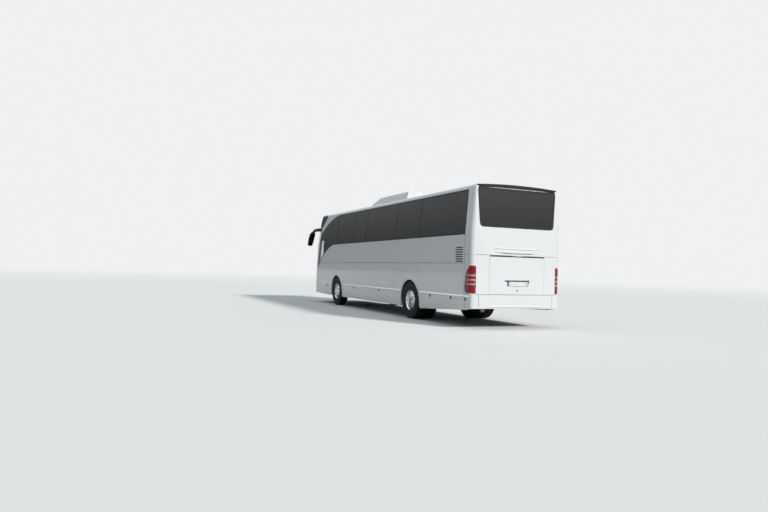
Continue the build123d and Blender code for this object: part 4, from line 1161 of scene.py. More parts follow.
@dataclass
class SideFittings:
    """Marker lamps, locks, the louvre and the door seals."""

    marker_z: float = 0.70
    markers: tuple = ((-4.14, "marker"), (-1.37, "marker"), (0.84, "marker"), (4.21, "marker"), (5.30, "red"),
                      (5.985, "red"))
    louvre_y: Flat = (5.51, 5.85)
    louvre_foot: float = 1.575
    louvre_pitch: float = 0.056
    louvre_opening: float = 0.032
    louvre_depth: float = 0.018
    louvre_slots: int = 7
    lock: tuple = ((0.0, 0.004), (0.009, 0.004), (0.013, 0.0025), (0.014, -0.001))
    lock_inset: float = 0.16
    filler_lock: Flat = (2.90, 1.34)
    # each plug door with the height of its window's sill
    doors: tuple = (("front_door", 1.15), ("middle_door", 1.64))
    door_foot: float = 0.012
    window_inset: float = 0.09
    # lowest edge that a lock's height counts from, and its height over the flap's edge
    skirt_z: float = 0.33
    lock_rise: float = 0.62

    def dress(self, coach: Coach) -> None:
        """Place the fittings on both sides.

        Args:
            coach: The coach to dress.
        """
        base = rounded_box((-0.030, -0.036, -0.002), (0.030, 0.036, 0.006), 0.004)
        lens = rounded_box((-0.023, -0.028, 0.004), (0.023, 0.028, 0.012), 0.005)
        for name, view in SIDES.items():
            for index, (y, finish) in enumerate(self.markers, start=1):
                bodies = [flap for flap, low, high in coach.flaps(name) if low.y <= y <= high.y]
                for part, form, look in (("base", base, "black"), ("lens", lens, finish)):
                    lamp = coach.skin.on(view, y, self.marker_z, form)
                    coach.piece(f"marker_{part}_{name}_{index}", lamp, look, (bodies or ["chassis"])[0])
            self.louvre(coach, name, view)
            self.locks(coach, name, view)
        self.door_trim(coach)

    def louvre(self, coach: Coach, name: str, view: View) -> None:
        """Air outlet high on the tail: dark sheets of painted shade deep in the slots, a sloping blade at
        each, and a frame.

        Args:
            coach: The coach to dress.
            name: Name of the side.
            view: The side.
        """
        low, high = self.louvre_y
        foot, opening, deep = self.louvre_foot, self.louvre_opening, -self.louvre_depth
        face, _ = coach.skin.touch(view, low - 0.05, foot)

        def slots(section: Sequence[Flat], finish: str) -> Shape:
            """Bar along each slot, from a section of (outwards, up).

            Args:
                section: The bar's section, as (outwards, up).
                finish: Name of its finish.

            Returns:
                All the bars.
            """
            bar = strip([[Vector((face.x + view.sign * out, y, foot + up)) for out, up in section]
                         for y in (low + 0.001, high - 0.001)])
            return coach.along.shape(bar, self.louvre_slots, (0.0, 0.0, self.louvre_pitch), finish)

        # dark sheet of painted shade at the back of each slot
        slot_shade = [(deep + 0.0005, 0.001), (deep + 0.0005, opening - 0.001), (deep + 0.0015, opening - 0.001),
                  (deep + 0.0015, 0.003), (-0.001, 0.003), (-0.001, 0.001)]
        coach.piece(f"louvre_slot_shades_{name}", slots(slot_shade, "grille"), "grille")
        blade = ((-0.012, 0.0), (0.003, -0.006), (0.005, -0.004), (-0.010, 0.003))
        blades = slots([(out, opening + up) for out, up in blade], "paint")
        top = foot + self.louvre_pitch * (self.louvre_slots - 1) + opening
        edge = [(low - 0.012, foot - 0.014), (low - 0.012, top + 0.014), (high + 0.012, top + 0.014),
                (high + 0.012, foot - 0.014)]
        blades.join(coach.skin.ribbon(view, edge, 0.012, 0.002, 0.003, loop=True))
        coach.piece(f"louvre_blades_{name}", blades, "paint")

    def locks(self, coach: Coach, name: str, view: View) -> None:
        """Round key locks low on each flap, and the filler cap's lock.

        Args:
            coach: The coach to dress.
            name: Name of the side.
            view: The side.
        """
        plug = lathe(self.lock, 20)
        for node, low, high in coach.flaps(name):
            height = max(low.z, self.skirt_z) + self.lock_rise
            places = (low.y + self.lock_inset, high.y - self.lock_inset)
            pair = [coach.skin.on(view, y, height, plug) for y in places]
            coach.piece(f"locks_{node}", Shape().join(*pair), "paint", node)
        if view is View.LEFT:
            cap = coach.skin.on(view, *self.filler_lock, plug.placed(Matrix.Scale(1.5, 4)))
            coach.piece("filler_lock", cap, "black")

    def door_trim(self, coach: Coach) -> None:
        """Rubber edges, window borders and handles of the plug doors.

        Args:
            coach: The coach to dress.
        """
        for door, sill in self.doors:
            low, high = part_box(door)
            foot = low.z + self.door_foot
            outer = [(low.y, foot), (low.y, high.z), (high.y, high.z), (high.y, foot)]
            inset = self.window_inset
            left, right, top = low.y + inset, high.y - inset, high.z - inset
            inner = [(left, sill), (left, top), (right, top), (right, sill)]
            coach.laid(f"{door}_seals", [(View.RIGHT, outer, 0.018, 0.001),
                                         (View.RIGHT, inner, 0.030, 0.0012, 0.0, True)])
            handle = coach.skin.patch(View.RIGHT, (low.y + 0.05, sill - 0.16), (low.y + 0.17, sill - 0.09),
                                      0.003)
            grip = [(low.y + 0.06, sill - 0.105), (low.y + 0.16, sill - 0.105)]
            handle.join(coach.skin.ribbon(View.RIGHT, grip, 0.018, 0.016, 0.003))
            coach.piece(f"{door}_handle", handle, "black")


@dataclass
class Tail:
    """Fittings of the rear face: lamp inserts, plate, lid details and mouldings."""

    # height and front end along the coach of the lamp's lens, from its foot up
    lens: tuple = ((0.850, 6.045), (0.858, 6.005), (0.875, 5.980), (0.910, 5.965), (0.990, 5.968),
                   (1.080, 5.975), (1.167, 5.986), (1.250, 6.002), (1.320, 6.024), (1.370, 6.048),
                   (1.405, 6.078), (1.432, 6.112), (1.448, 6.140), (1.456, 6.158))
    lens_inner: float = 1.148
    lens_corner: Flat = (6.165, 1.228)
    lens_lift: float = 0.006
    corner_bulge: float = 0.007
    gasket: float = 0.008
    bars: tuple = (1.262, 1.158, 1.054)
    bar_height: float = 0.040
    bar_inset: float = 0.060
    plate_z: float = 1.083
    plate_size: Flat = (0.52, 0.112)
    recess_y: float = 6.238
    # height, half width and droop of each lip over the lid
    lips: tuple = ((1.925, 0.67, 0.016), (1.832, 0.62, 0.014))
    # half width and height of the bumper's lip, and the top strip's height and the droop of its ends
    bumper_lip: Flat = (0.72, 0.535)
    strip_z: float = 3.398
    strip_droop: float = 0.028
    # half width, foot and top of the black lip over the plate, deep enough to be painted shadow under the
    # recess's top edge as well, with the places of the lamps in it
    plate_lip_and_shadow: tuple = (0.354, 1.141, 1.175)
    plate_lamps: Flat = (-0.15, 0.15)
    lock_z: float = 0.92

    def wrapped(self, coach: Coach, view: View, rows: Sequence[Flat], inner: float, lift: float,
                edge: float = 1.0) -> Shape:
        """Thin shell laid round the rear corner of the body.

        Args:
            coach: The coach.
            view: Its side.
            rows: Height and front end of each row, from the foot up.
            inner: Distance of the inner end from the coach's middle.
            lift: Height of the shell over the body.
            edge: Share of that height at its edges.

        Returns:
            The shell as a closed solid.
        """
        turn_y, turn_x = self.lens_corner
        touch = coach.skin.touch
        rings = []
        for index, (z, front) in enumerate(rows):
            line = [touch(view, front + (turn_y - front) * step / 8, z) for step in range(9)]
            back = [touch(View.REAR, view.sign * (turn_x + (inner - turn_x) * step / 4), z)
                    for step in range(5)]
            between = (line[-1][1] + back[0][1]).normalized()
            line += [((line[-1][0] + back[0][0]) / 2 + between * self.corner_bulge, between)] + back
            ends = {0, len(line) - 1} if 0 < index < len(rows) - 1 else set(range(len(line)))
            over = [place + normal * lift * (edge if step in ends else 1.0)
                    for step, (place, normal) in enumerate(line)]
            rings.append(over + [place - normal * SUNK for place, normal in reversed(line)])
        return strip(rings)

    def dress(self, coach: Coach) -> None:
        """Place all of the rear's fittings.

        Args:
            coach: The coach to dress.
        """
        foot, head = self.lens[0], self.lens[-1]
        border = [(foot[0] - self.gasket, foot[1]), *((z, front - self.gasket) for z, front in self.lens),
                  (head[0] + self.gasket, head[1])]
        for name, view in SIDES.items():
            gasket = self.wrapped(coach, view, border, self.lens_inner - self.gasket, 0.0015)
            coach.piece(f"tail_lamp_gasket_{name}", gasket, "seal")
            lens = self.wrapped(coach, view, self.lens, self.lens_inner, self.lens_lift, 0.3)
            coach.piece(f"tail_lamp_lens_{name}", lens, "red")
            bars = Shape()
            for z in self.bars:
                front = min(y for height, y in self.lens if abs(height - z) < 0.1) + self.bar_inset
                rows = [(z + self.bar_height * share, front) for share in (-0.5, -0.3, 0.3, 0.5)]
                inner, lift = self.lens_inner + 0.006, self.lens_lift + 0.003
                bars.join(self.wrapped(coach, view, rows, inner, lift, 0.6))
            coach.piece(f"tail_lamp_bars_{name}", bars, "white_lens")
        self.plate(coach)
        self.mouldings(coach)

    def plate(self, coach: Coach) -> None:
        """Blank plate in its recess, with its holder, lamps and the lid's lock.

        Args:
            coach: The coach to dress.
        """
        (wide, tall), y, z = (size / 2 for size in self.plate_size), self.recess_y, self.plate_z
        half, foot, top = self.plate_lip_and_shadow
        # black lip of the plate lamps, partly painted shadow under the recess's top edge
        lip = rounded_box((-half, y - 0.001, foot), (half, y + 0.022, top), 0.004)
        for x in self.plate_lamps:
            lip.join(rounded_box((x - 0.045, y, foot), (x + 0.045, y + 0.017, foot + 0.011), 0.003))
        plug = lathe([(0.0, 0.005), (0.012, 0.005), (0.018, 0.003), (0.020, -0.001)], 24)
        fitted = (
            ("rear_plate_holder", "black", rounded_box((-wide - 0.008, y - 0.001, z - tall - 0.008),
                                                       (wide + 0.008, y + 0.004, z + tall + 0.008), 0.002)),
            ("rear_plate", "plate",
             rounded_box((-wide, y + 0.002, z - tall), (wide, y + 0.0065, z + tall), 0.0018)),
            ("rear_plate_band", "plate_band",
             rounded_box((wide - 0.044, y + 0.003, z - tall + 0.003),
                         (wide - 0.003, y + 0.0072, z + tall - 0.003), 0.001)),
            ("rear_plate_lamps", "black", lip),
            ("lid_lock", "black", coach.skin.on(View.REAR, 0.0, self.lock_z, plug)),
        )
        for name, finish, shape in fitted:
            coach.piece(name, shape, finish, "engine_lid")

    def mouldings(self, coach: Coach) -> None:
        """Two shallow lips over the lid, a dark line of painted shadow under the lower one, the bumper's
        lower lip, and the face of the top strip.

        Args:
            coach: The coach to dress.
        """
        bands = []
        for z, half, drop in self.lips:
            shares = [step / 12 - 1 for step in range(25)]
            path = [(half * share, z - drop * (1 - share ** 2)) for share in shares]
            bands.append((View.REAR, path, 0.028, 0.001, 0.018))
        wide, low = self.bumper_lip
        bands.append((View.REAR, [(-wide, low), (wide, low)], 0.045, 0.002, 0.012))
        coach.laid("rear_mouldings", bands, "paint")
        # dark line of painted shadow under the middle of the lower lip
        z, half, drop = self.lips[1]
        shares = (-1, -0.8, -0.5, 0, 0.5, 0.8, 1)
        path = [(half * 0.7 * x, z - drop * (1 - 0.49 * x * x) - 0.019) for x in shares]
        coach.laid("rear_moulding_painted_shadow", [(View.REAR, path, 0.010, 0.0008)])
        path = [(x / 10, self.strip_z - self.strip_droop * (x / 11.5) ** 4) for x in range(-11, 12)]
        coach.laid("top_strip_face", [(View.REAR, path, 0.062, 0.0015)], "dome")


@dataclass
class Nose:
    """Fittings of the front: wipers, grille, lamps, plate holder and flap seam."""

    # name, lower and upper corner, number of slats and their finish
    grilles: tuple = (("grille", (-0.60, 0.90), (0.60, 1.16), 5, "steel"),
                      ("intake", (-0.42, 0.46), (0.42, 0.60), 4, "black"))
    lamps: tuple = ((0.80, 0.955), (0.95, 0.955), (0.85, 0.57))
    unit: tuple = ((0.0, 0.010), (0.030, 0.008), (0.050, 0.0), (0.060, -0.004))
    bezel: tuple = ((0.060, -0.004), (0.062, 0.008), (0.070, 0.010), (0.076, 0.0), (0.076, -0.006))
    seam: tuple = ((-0.66, 0.87), (-0.66, 1.30), (0.66, 1.30), (0.66, 0.87))
    # outer end of each wiper's blade and its arm's pivot, across the screen
    wiper_places: tuple = ((-1.0, -0.93), (0.05, 0.12))
    blade_length: float = 0.85
    # heights on the screen of a blade, of its arm's middle and of its boss
    blade_z: float = 1.50
    arm_z: float = 1.42
    boss_z: float = 1.30
    indicator: tuple = ((1.055, 0.872), (1.135, 1.038))
    boss: tuple = ((0.0, 0.034), (0.020, 0.032), (0.026, 0.020), (0.028, -0.002))

    def dress(self, coach: Coach) -> None:
        """Place all of the front's fittings.

        Args:
            coach: The coach to dress.
        """
        self.openings(coach)
        self.headlamps(coach)
        self.wipers(coach)
        for name, half, foot, top, lift, finish in (("front_plate_holder", 0.27, 0.65, 0.775, 0.010, "black"),
                                                    ("front_plate", 0.26, 0.657, 0.768, 0.014, "plate")):
            coach.piece(name, coach.skin.patch(View.FRONT, (-half, foot), (half, top), lift, (4, 1)), finish)
        coach.laid("front_flap_seam", [(View.FRONT, self.seam, 0.007, 0.0006, 0.0, True)])

    def openings(self, coach: Coach) -> None:
        """Openings drawn as dark sheets of painted shade, with slats across them.

        Args:
            coach: The coach to dress.
        """
        for name, low, high, slats, finish in self.grilles:
            # dark sheet laid on the body as painted shade of the opening
            back = coach.skin.patch(View.FRONT, low, high, 0.002, (16, 3))
            coach.piece(f"front_{name}_back", back, "grille")
            levels = [low[1] + (high[1] - low[1]) * (index + 0.5) / slats for index in range(slats)]
            bands = [([(low[0] + 0.02, z), (high[0] - 0.02, z)], 0.016, 0.010, 0.006) for z in levels]
            bands.append(([low, (low[0], high[1]), high, (high[0], low[1])], 0.016, 0.008, 0.0, True))
            bars = Shape().join(*(coach.skin.ribbon(View.FRONT, *band) for band in bands))
            coach.piece(f"front_{name}_slats", bars, finish)

    def headlamps(self, coach: Coach) -> None:
        """Headlamp units on their dark housings, and fog lamps in the bumper.

        Args:
            coach: The coach to dress.
        """
        for name, view in SIDES.items():
            for part, profile, finish in (("lenses", self.unit, "clear_lens"),
                                          ("rings", self.bezel, "steel")):
                form = lathe(profile, 32)
                made = [coach.skin.on(View.FRONT, view.sign * x, z, form) for x, z in self.lamps]
                coach.piece(f"front_lamp_{part}_{name}", Shape().join(*made), finish)
            (inner, foot), (outer, top) = self.indicator
            near, far = sorted((view.sign * inner, view.sign * outer))
            signal = coach.skin.patch(View.FRONT, (near, foot), (far, top), 0.004, (4, 4))
            coach.piece(f"front_indicator_{name}", signal, "amber")

    def wipers(self, coach: Coach) -> None:
        """Two wipers parked low on the screen.

        Args:
            coach: The coach to dress.
        """
        arms, blades = Shape(), Shape()
        for start, pivot in self.wiper_places:
            shares = [step / 14 for step in range(15)]
            spots = [coach.skin.touch(View.FRONT, start + self.blade_length * t, self.blade_z + 0.05 * t)
                     for t in shares]
            path = [place + normal * 0.016 for place, normal in spots]
            blades.join(sweep(path, [[(-0.006, -0.012), (0.006, -0.012), (0.006, 0.012), (-0.006, 0.012)]]))
            foot, normal = coach.skin.touch(View.FRONT, pivot, self.boss_z)
            middle = path[7]
            rest, lean = coach.skin.touch(View.FRONT, (pivot + middle.x) / 2, self.arm_z)
            route = smooth_path([foot + normal * 0.020, rest + lean * 0.045, middle + lean * 0.016], 8)
            arms.join(sweep(route, [[(-0.010, -0.005), (0.010, -0.005), (0.010, 0.005), (-0.010, 0.005)]],
                            (0, -1, 0.2)))
            arms.join(lathe(self.boss, 24).placed(facing(foot, normal)))
        coach.piece("wiper_arms", arms, "black")
        coach.piece("wiper_blades", blades, "seal")


@dataclass
class Mirrors:
    """Drop-shaped mirror heads hanging from thick curved arms."""

    # height, out from the middle, width, depth
    sections: tuple = (
        (2.815, 1.232, 0.118, 0.080), (2.800, 1.238, 0.150, 0.096), (2.740, 1.254, 0.206, 0.134),
        (2.690, 1.269, 0.228, 0.146), (2.600, 1.291, 0.236, 0.150), (2.520, 1.308, 0.231, 0.148),
        (2.440, 1.324, 0.224, 0.142), (2.360, 1.339, 0.214, 0.132), (2.300, 1.350, 0.206, 0.120),
        (2.262, 1.355, 0.190, 0.102), (2.244, 1.357, 0.168, 0.084), (2.238, 1.357, 0.130, 0.060),
    )
    arm: tuple = ((1.09, -5.32, 2.868), (1.205, -5.61, 2.872), (1.222, -5.94, 2.866), (1.228, -6.10, 2.838),
                  (1.246, -6.18, 2.76))
    arm_radius: float = 0.070
    arm_taper: float = 0.008
    arm_flatness: float = 0.74
    head_y: float = -6.205
    # how full the head's rounded section is: 1 is an ellipse, 0 a rectangle
    fullness: float = 0.62
    # top, bottom and inset of the main and the wide-angle pane, and of the dark border behind each
    panes: tuple = ((2.725, 2.455, 0.022), (2.435, 2.285, 0.020))
    borders: tuple = ((2.735, 2.447, 0.014), (2.443, 2.277, 0.014))

    def section(self, height: float, out: float, width: float, depth: float) -> list[Vector]:
        """Ring of a rounded rectangle across the head."""
        spots = [[math.copysign(abs(c) ** self.fullness, c) for c in spot] for spot in circle(1.0, 24)]
        return [Vector((out + x * width / 2, self.head_y + y * depth / 2, height)) for x, y in spots]

    def pane(self, top: float, bottom: float, narrow: float) -> Shape:
        """Mirror glass between two heights, following the head's lean.

        Args:
            top: Its upper height.
            bottom: Its lower height.
            narrow: How far it stays inside the head's sides.

        Returns:
            The pane as a closed solid.
        """
        rings = []
        steps = 10
        for step in range(steps + 1):
            height = top + (bottom - top) * step / steps
            lower = next(s for s in self.sections if s[0] <= height)
            upper = self.sections[self.sections.index(lower) - 1]
            share = (height - lower[0]) / (upper[0] - lower[0])
            out, width, depth = (a + (b - a) * share for a, b in zip(lower[1:], upper[1:]))
            half = (width / 2 - narrow) * (1 - 0.12 * (2 * step / steps - 1) ** 4)
            face = self.head_y + depth / 2
            spots = ((-1, face - 0.02), (-1, face + 0.001), (0, face + 0.0035), (1, face + 0.001),
                     (1, face - 0.02))
            rings.append([Vector((out + x * half, y, height)) for x, y in spots])
        return strip(rings)

    def dress(self, coach: Coach) -> None:
        """Make both mirrors in place of their node.

        Args:
            coach: The coach to dress.
        """
        path = smooth_path(self.arm, 10)
        radii = [self.arm_radius - self.arm_taper * index / len(path) for index in range(len(path))]
        left = sweep(path, [[(self.arm_flatness * a, b) for a, b in circle(radius, 20)] for radius in radii])
        left.join(strip([self.section(*values) for values in self.sections]))
        shell = coach.piece("mirror_housings", left.both(), "dome", sharp=60.0)
        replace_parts(shell, "mirrors")
        panes = Shape().join(*(self.pane(*pane) for pane in self.panes))
        coach.piece("mirror_panes", panes.both(), "mirror")
        border = Shape().join(*(self.pane(*pane) for pane in self.borders)).at(0.0, -0.002, 0.0)
        coach.piece("mirror_borders", border.both(), "black")


@dataclass
class RoofGear:
    """Detail of the air conditioner, the hatches and the roof's long mouldings."""

    fan_x: float = 0.42
    fan_radius: float = 0.19
    fan_ys: tuple = (0.35, 0.95, 1.45)
    wire_rings: tuple = (0.075, 0.105, 0.135, 0.165)
    wire: float = 0.0028
    hatch_ys: tuple = (-2.59, 3.44)
    hatch_half: Flat = (0.395, 0.335)
    pod_seam_half: float = 0.74
    moulding_x: float = 1.03
    moulding_ys: Flat = (-4.40, 5.88)

    def dress(self, coach: Coach) -> None:
        """Place the roof's fittings.

        Args:
            coach: The coach to dress.
        """
        low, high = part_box("ac_unit")
        self.fans(coach, high.z)
        places = (low.y + 0.50, (low.y + high.y) / 2, high.y - 0.22)
        half, (start, end) = self.pod_seam_half, self.moulding_ys
        coach.laid("pod_seams", [(View.TOP, [(-half, y), (half, y)], 0.008, 0.0008) for y in places])
        coach.laid("roof_mouldings", [(View.TOP, [(x, start), (x, end)], 0.030, 0.002, 0.006)
                                      for x in (self.moulding_x, -self.moulding_x)], "paint")
        ribs, seals = Shape(), Shape()
        wide, long = self.hatch_half
        for y in self.hatch_ys:
            rib = coach.skin.ribbon(View.TOP, [(-0.24, y - 0.20), (0.24, y - 0.20)], 0.045, 0.001, 0.008)
            ribs.join(coach.along.shape(rib, 4, (0.0, 0.133, 0.0), "pod"))
            border = [(-wide, y - long), (-wide, y + long), (wide, y + long), (wide, y - long)]
            seals.join(coach.skin.ribbon(View.TOP, border, 0.022, 0.006, loop=True))
        coach.piece("hatch_ribs", ribs, "pod")
        coach.piece("hatch_seals", seals, "seal")

    def fans(self, coach: Coach, top: float) -> None:
        """Round fan guards on top of the pod: rings on spokes over a dark disc of painted shade for the well.

        Args:
            coach: The coach to dress.
            top: Height of the pod's top.
        """
        radius = self.fan_radius
        # flat dark disc of painted shade where each fan well is
        well_shade = lathe([(0.0, 0.003), (radius, 0.003), (radius + 0.004, -0.002)], 40)
        edge = [(radius, -0.002), (radius, 0.014), (radius + 0.022, 0.010), (radius + 0.026, -0.002)]
        rim = lathe(edge, 40)
        rim.join(lathe([(0.0, 0.018), (0.040, 0.016), (0.046, 0.003)], 24))
        for ring in self.wire_rings:
            rim.join(lathe([(ring + x, 0.010 + z) for x, z in circle(self.wire, 6)], 40, closed=True))
        spoke = rounded_box((-0.076, -self.wire, 0.006), (0.076, self.wire, 0.012), 0.0008, 1)
        rim.join(coach.around.shape(spoke, 8, 0.116, "black"))
        places = [(sign * self.fan_x, y, top) for sign in (1, -1) for y in self.fan_ys]
        coach.piece("pod_fan_well_shades", Shape().join(*(well_shade.at(*place) for place in places)), "grille")
        coach.piece("pod_fan_guards", Shape().join(*(rim.at(*place) for place in places)), "black")


@dataclass
class Wheels:
    """Tyres with tread blocks, and polished wheels with nuts and hand holes drawn as dark discs of painted
    shade.
    """

    tyre_radius: float = 0.520
    block_height: float = 0.010
    # radius and distance from the tyre's middle, from the bead out to the shoulder
    side_wall: tuple = ((0.289, 0.112), (0.289, 0.1242), (0.2755, 0.1256), (0.2765, 0.1300), (0.300, 0.1335),
                        (0.335, 0.1410), (0.385, 0.1472), (0.400, 0.1475), (0.406, 0.1455), (0.440, 0.1440),
                        (0.478, 0.1390), (0.497, 0.1330))
    rib_places: tuple = (-0.108, -0.054, 0.0, 0.054, 0.108)
    rib_width: float = 0.044
    blocks: int = 68
    block_share: float = 0.80
    block_skew: float = 0.008
    wheel_x: float = 1.1095
    twin_x: float = 0.7745
    nuts: int = 10
    nut_circle: float = 0.1675
    nut: tuple = ((0.0, 0.034), (0.009, 0.033), (0.011, 0.024), (0.016, 0.022), (0.017, 0.0))
    washer: tuple = ((0.017, 0.004), (0.021, 0.003), (0.022, 0.0))
    bolt: tuple = ((0.0, 0.006), (0.005, 0.0055), (0.007, 0.0))
    # flat dark disc of painted shade for each hand hole
    hand_hole_shade: tuple = ((0.0, 0.0015), (0.021, 0.0015), (0.026, 0.003), (0.029, 0.003), (0.030, -0.004))
    # lip, barrel and a disc that stands out to the hub
    front_rim: tuple = ((0.283, 0.1235), (0.286, 0.118), (0.282, 0.111), (0.272, 0.105), (0.265, 0.085),
                        (0.262, 0.06), (0.248, 0.078), (0.222, 0.108), (0.198, 0.126), (0.186, 0.1315),
                        (0.110, 0.1315), (0.106, 0.118), (0.180, 0.112), (0.250, 0.050), (0.255, -0.10),
                        (0.278, -0.116), (0.283, -0.1235), (0.287, -0.118), (0.287, 0.116))
    # lip and a deep dish down to the disc
    rear_rim: tuple = ((0.283, 0.1235), (0.286, 0.118), (0.282, 0.111), (0.274, 0.105), (0.268, 0.090),
                       (0.264, 0.02), (0.256, -0.06), (0.236, -0.118), (0.214, -0.146), (0.190, -0.157),
                       (0.096, -0.157), (0.096, -0.1665), (0.200, -0.1665), (0.262, -0.118), (0.287, -0.112),
                       (0.287, 0.116))
    front_hub: tuple = ((0.0, 0.162), (0.035, 0.161), (0.052, 0.155), (0.060, 0.140), (0.070, 0.137),
                        (0.088, 0.134), (0.104, 0.131), (0.108, 0.120))
    rear_hub: tuple = ((0.0, 0.030), (0.045, 0.030), (0.060, 0.026), (0.078, 0.012), (0.096, 0.006),
                       (0.103, -0.002), (0.105, -0.030), (0.112, -0.120), (0.122, -0.152), (0.124, -0.160))
    # height of the nuts' face, then radius, height and lean of the hand holes' discs of painted shade
    front_disc: tuple = (0.1315, 0.2235, 0.1065, 49.0)
    rear_disc: tuple = (-0.157, 0.2255, -0.1325, -52.0)

    def tyre(self, coach: Coach) -> Shape:
        """Tyre about Z, with its tread blocks copied round it.

        Args:
            coach: The coach to dress.

        Returns:
            The tyre.
        """
        crown = self.tyre_radius - self.block_height
        half = [*self.side_wall, (crown - 0.004, 0.1290), (crown, 0.120)]
        profile = half + [(crown + 0.001, 0.06), (crown + 0.001, -0.06)]
        profile += [(r, -x) for r, x in reversed(half)] + [(0.292, 0.0)]
        made = lathe(profile, 96, closed=True)
        length = 2 * math.pi * crown / self.blocks * self.block_share
        for index, place in enumerate(self.rib_places):
            top = self.tyre_radius - (0.003 if abs(place) > 0.1 else 0.0)
            skew = self.block_skew if index % 2 else -self.block_skew
            rings = [[Vector((r, side * length / 2 - end * skew, place + end * self.rib_width / 2))
                      for r, side in ((crown - 0.004, -1), (top, -0.92), (top, 0.92), (crown - 0.004, 1))]
                     for end in (-1, 1)]
            made.join(coach.around.shape(strip(rings), self.blocks, 0.0, "tyre"))
        return made

    def upright(self, x: float, y: float, outward: int) -> Matrix:
        """Placement of a wheel built about Z: its Z points outwards along X."""
        turn = Matrix.Rotation(math.radians(90 * outward), 4, "Y")
        return Matrix.Translation((x, y, self.tyre_radius)) @ turn

    def hardware(self, coach: Coach, face: float, radius: float, height: float,
                 lean: float) -> tuple[Shape, Shape]:
        """Hexagon nuts on a disc's bolt circle, and the hand holes between disc and rim as dark discs of
        painted shade.

        Args:
            coach: The coach.
            face: Height of the face that the nuts stand on.
            radius: Radius of the circle of holes.
            height: Height of the holes.
            lean: Their turn in degrees towards the rim.

        Returns:
            The nuts, and the holes' painted shade.
        """
        nut = lathe(self.nut, 6).join(lathe(self.washer, 12)).at(self.nut_circle, 0.0, face)
        place = Matrix.Translation((radius, 0, height)) @ Matrix.Rotation(math.radians(lean), 4, "Y")
        return (coach.around.shape(nut, self.nuts, 0.0, "steel"),
                coach.around.shape(lathe(self.hand_hole_shade, 18).placed(place), self.nuts, 0.0, "grille"))

    def dress(self, coach: Coach) -> None:
        """Make all tyres and wheels in place of their nodes, with hubs, nuts and the hand holes' painted
        shade.

        Args:
            coach: The coach to dress.
        """
        tyre = self.tyre(coach)
        bolts = coach.around.shape(lathe(self.bolt, 6).at(0.084, 0, 0.006), 12, 0.0, "steel")
        front_rim, rear_rim = (lathe(profile, 72, closed=True) for profile in (self.front_rim, self.rear_rim))
        hubs = lathe(self.front_hub), lathe(self.rear_hub).join(bolts)
        discs = [self.hardware(coach, *sizes) for sizes in (self.front_disc, self.rear_disc)]
        for name, view in SIDES.items():
            sign = view.sign
            front = self.upright(sign * self.wheel_x, FRONT_AXLE, sign)
            outer = self.upright(sign * self.wheel_x, REAR_AXLE, sign)
            inner, turned = (self.upright(sign * self.twin_x, REAR_AXLE, way) for way in (sign, -sign))
            fitted = (
                ("tyre", "front", "tread", tyre.placed(front), "tyre"),
                ("tyre", "rear", "tread", tyre.placed(outer).join(tyre.placed(inner)), "tyre"),
                ("wheel", "front", "rim", front_rim.placed(front), "rim"),
                ("wheel", "rear", "rim", rear_rim.placed(outer).join(rear_rim.placed(turned)), "rim"),
            )
            for part, end, label, shape, finish in fitted:
                node = f"{part}_{end}_{name}"
                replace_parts(coach.piece(f"{node}_{label}", shape, finish, f"{end}_wheel_{name}"), node)
            for end, place, hub, (nuts, hole_shades) in zip(("front", "rear"), (front, outer), hubs, discs):
                for part, shape, finish in (("hub", hub, "rim"), ("nuts", nuts, "steel"),
                                            ("hand_hole_shades", hole_shades, "grille")):
                    coach.piece(f"{part}_{end}_{name}", shape.placed(place), finish, f"{end}_wheel_{name}")


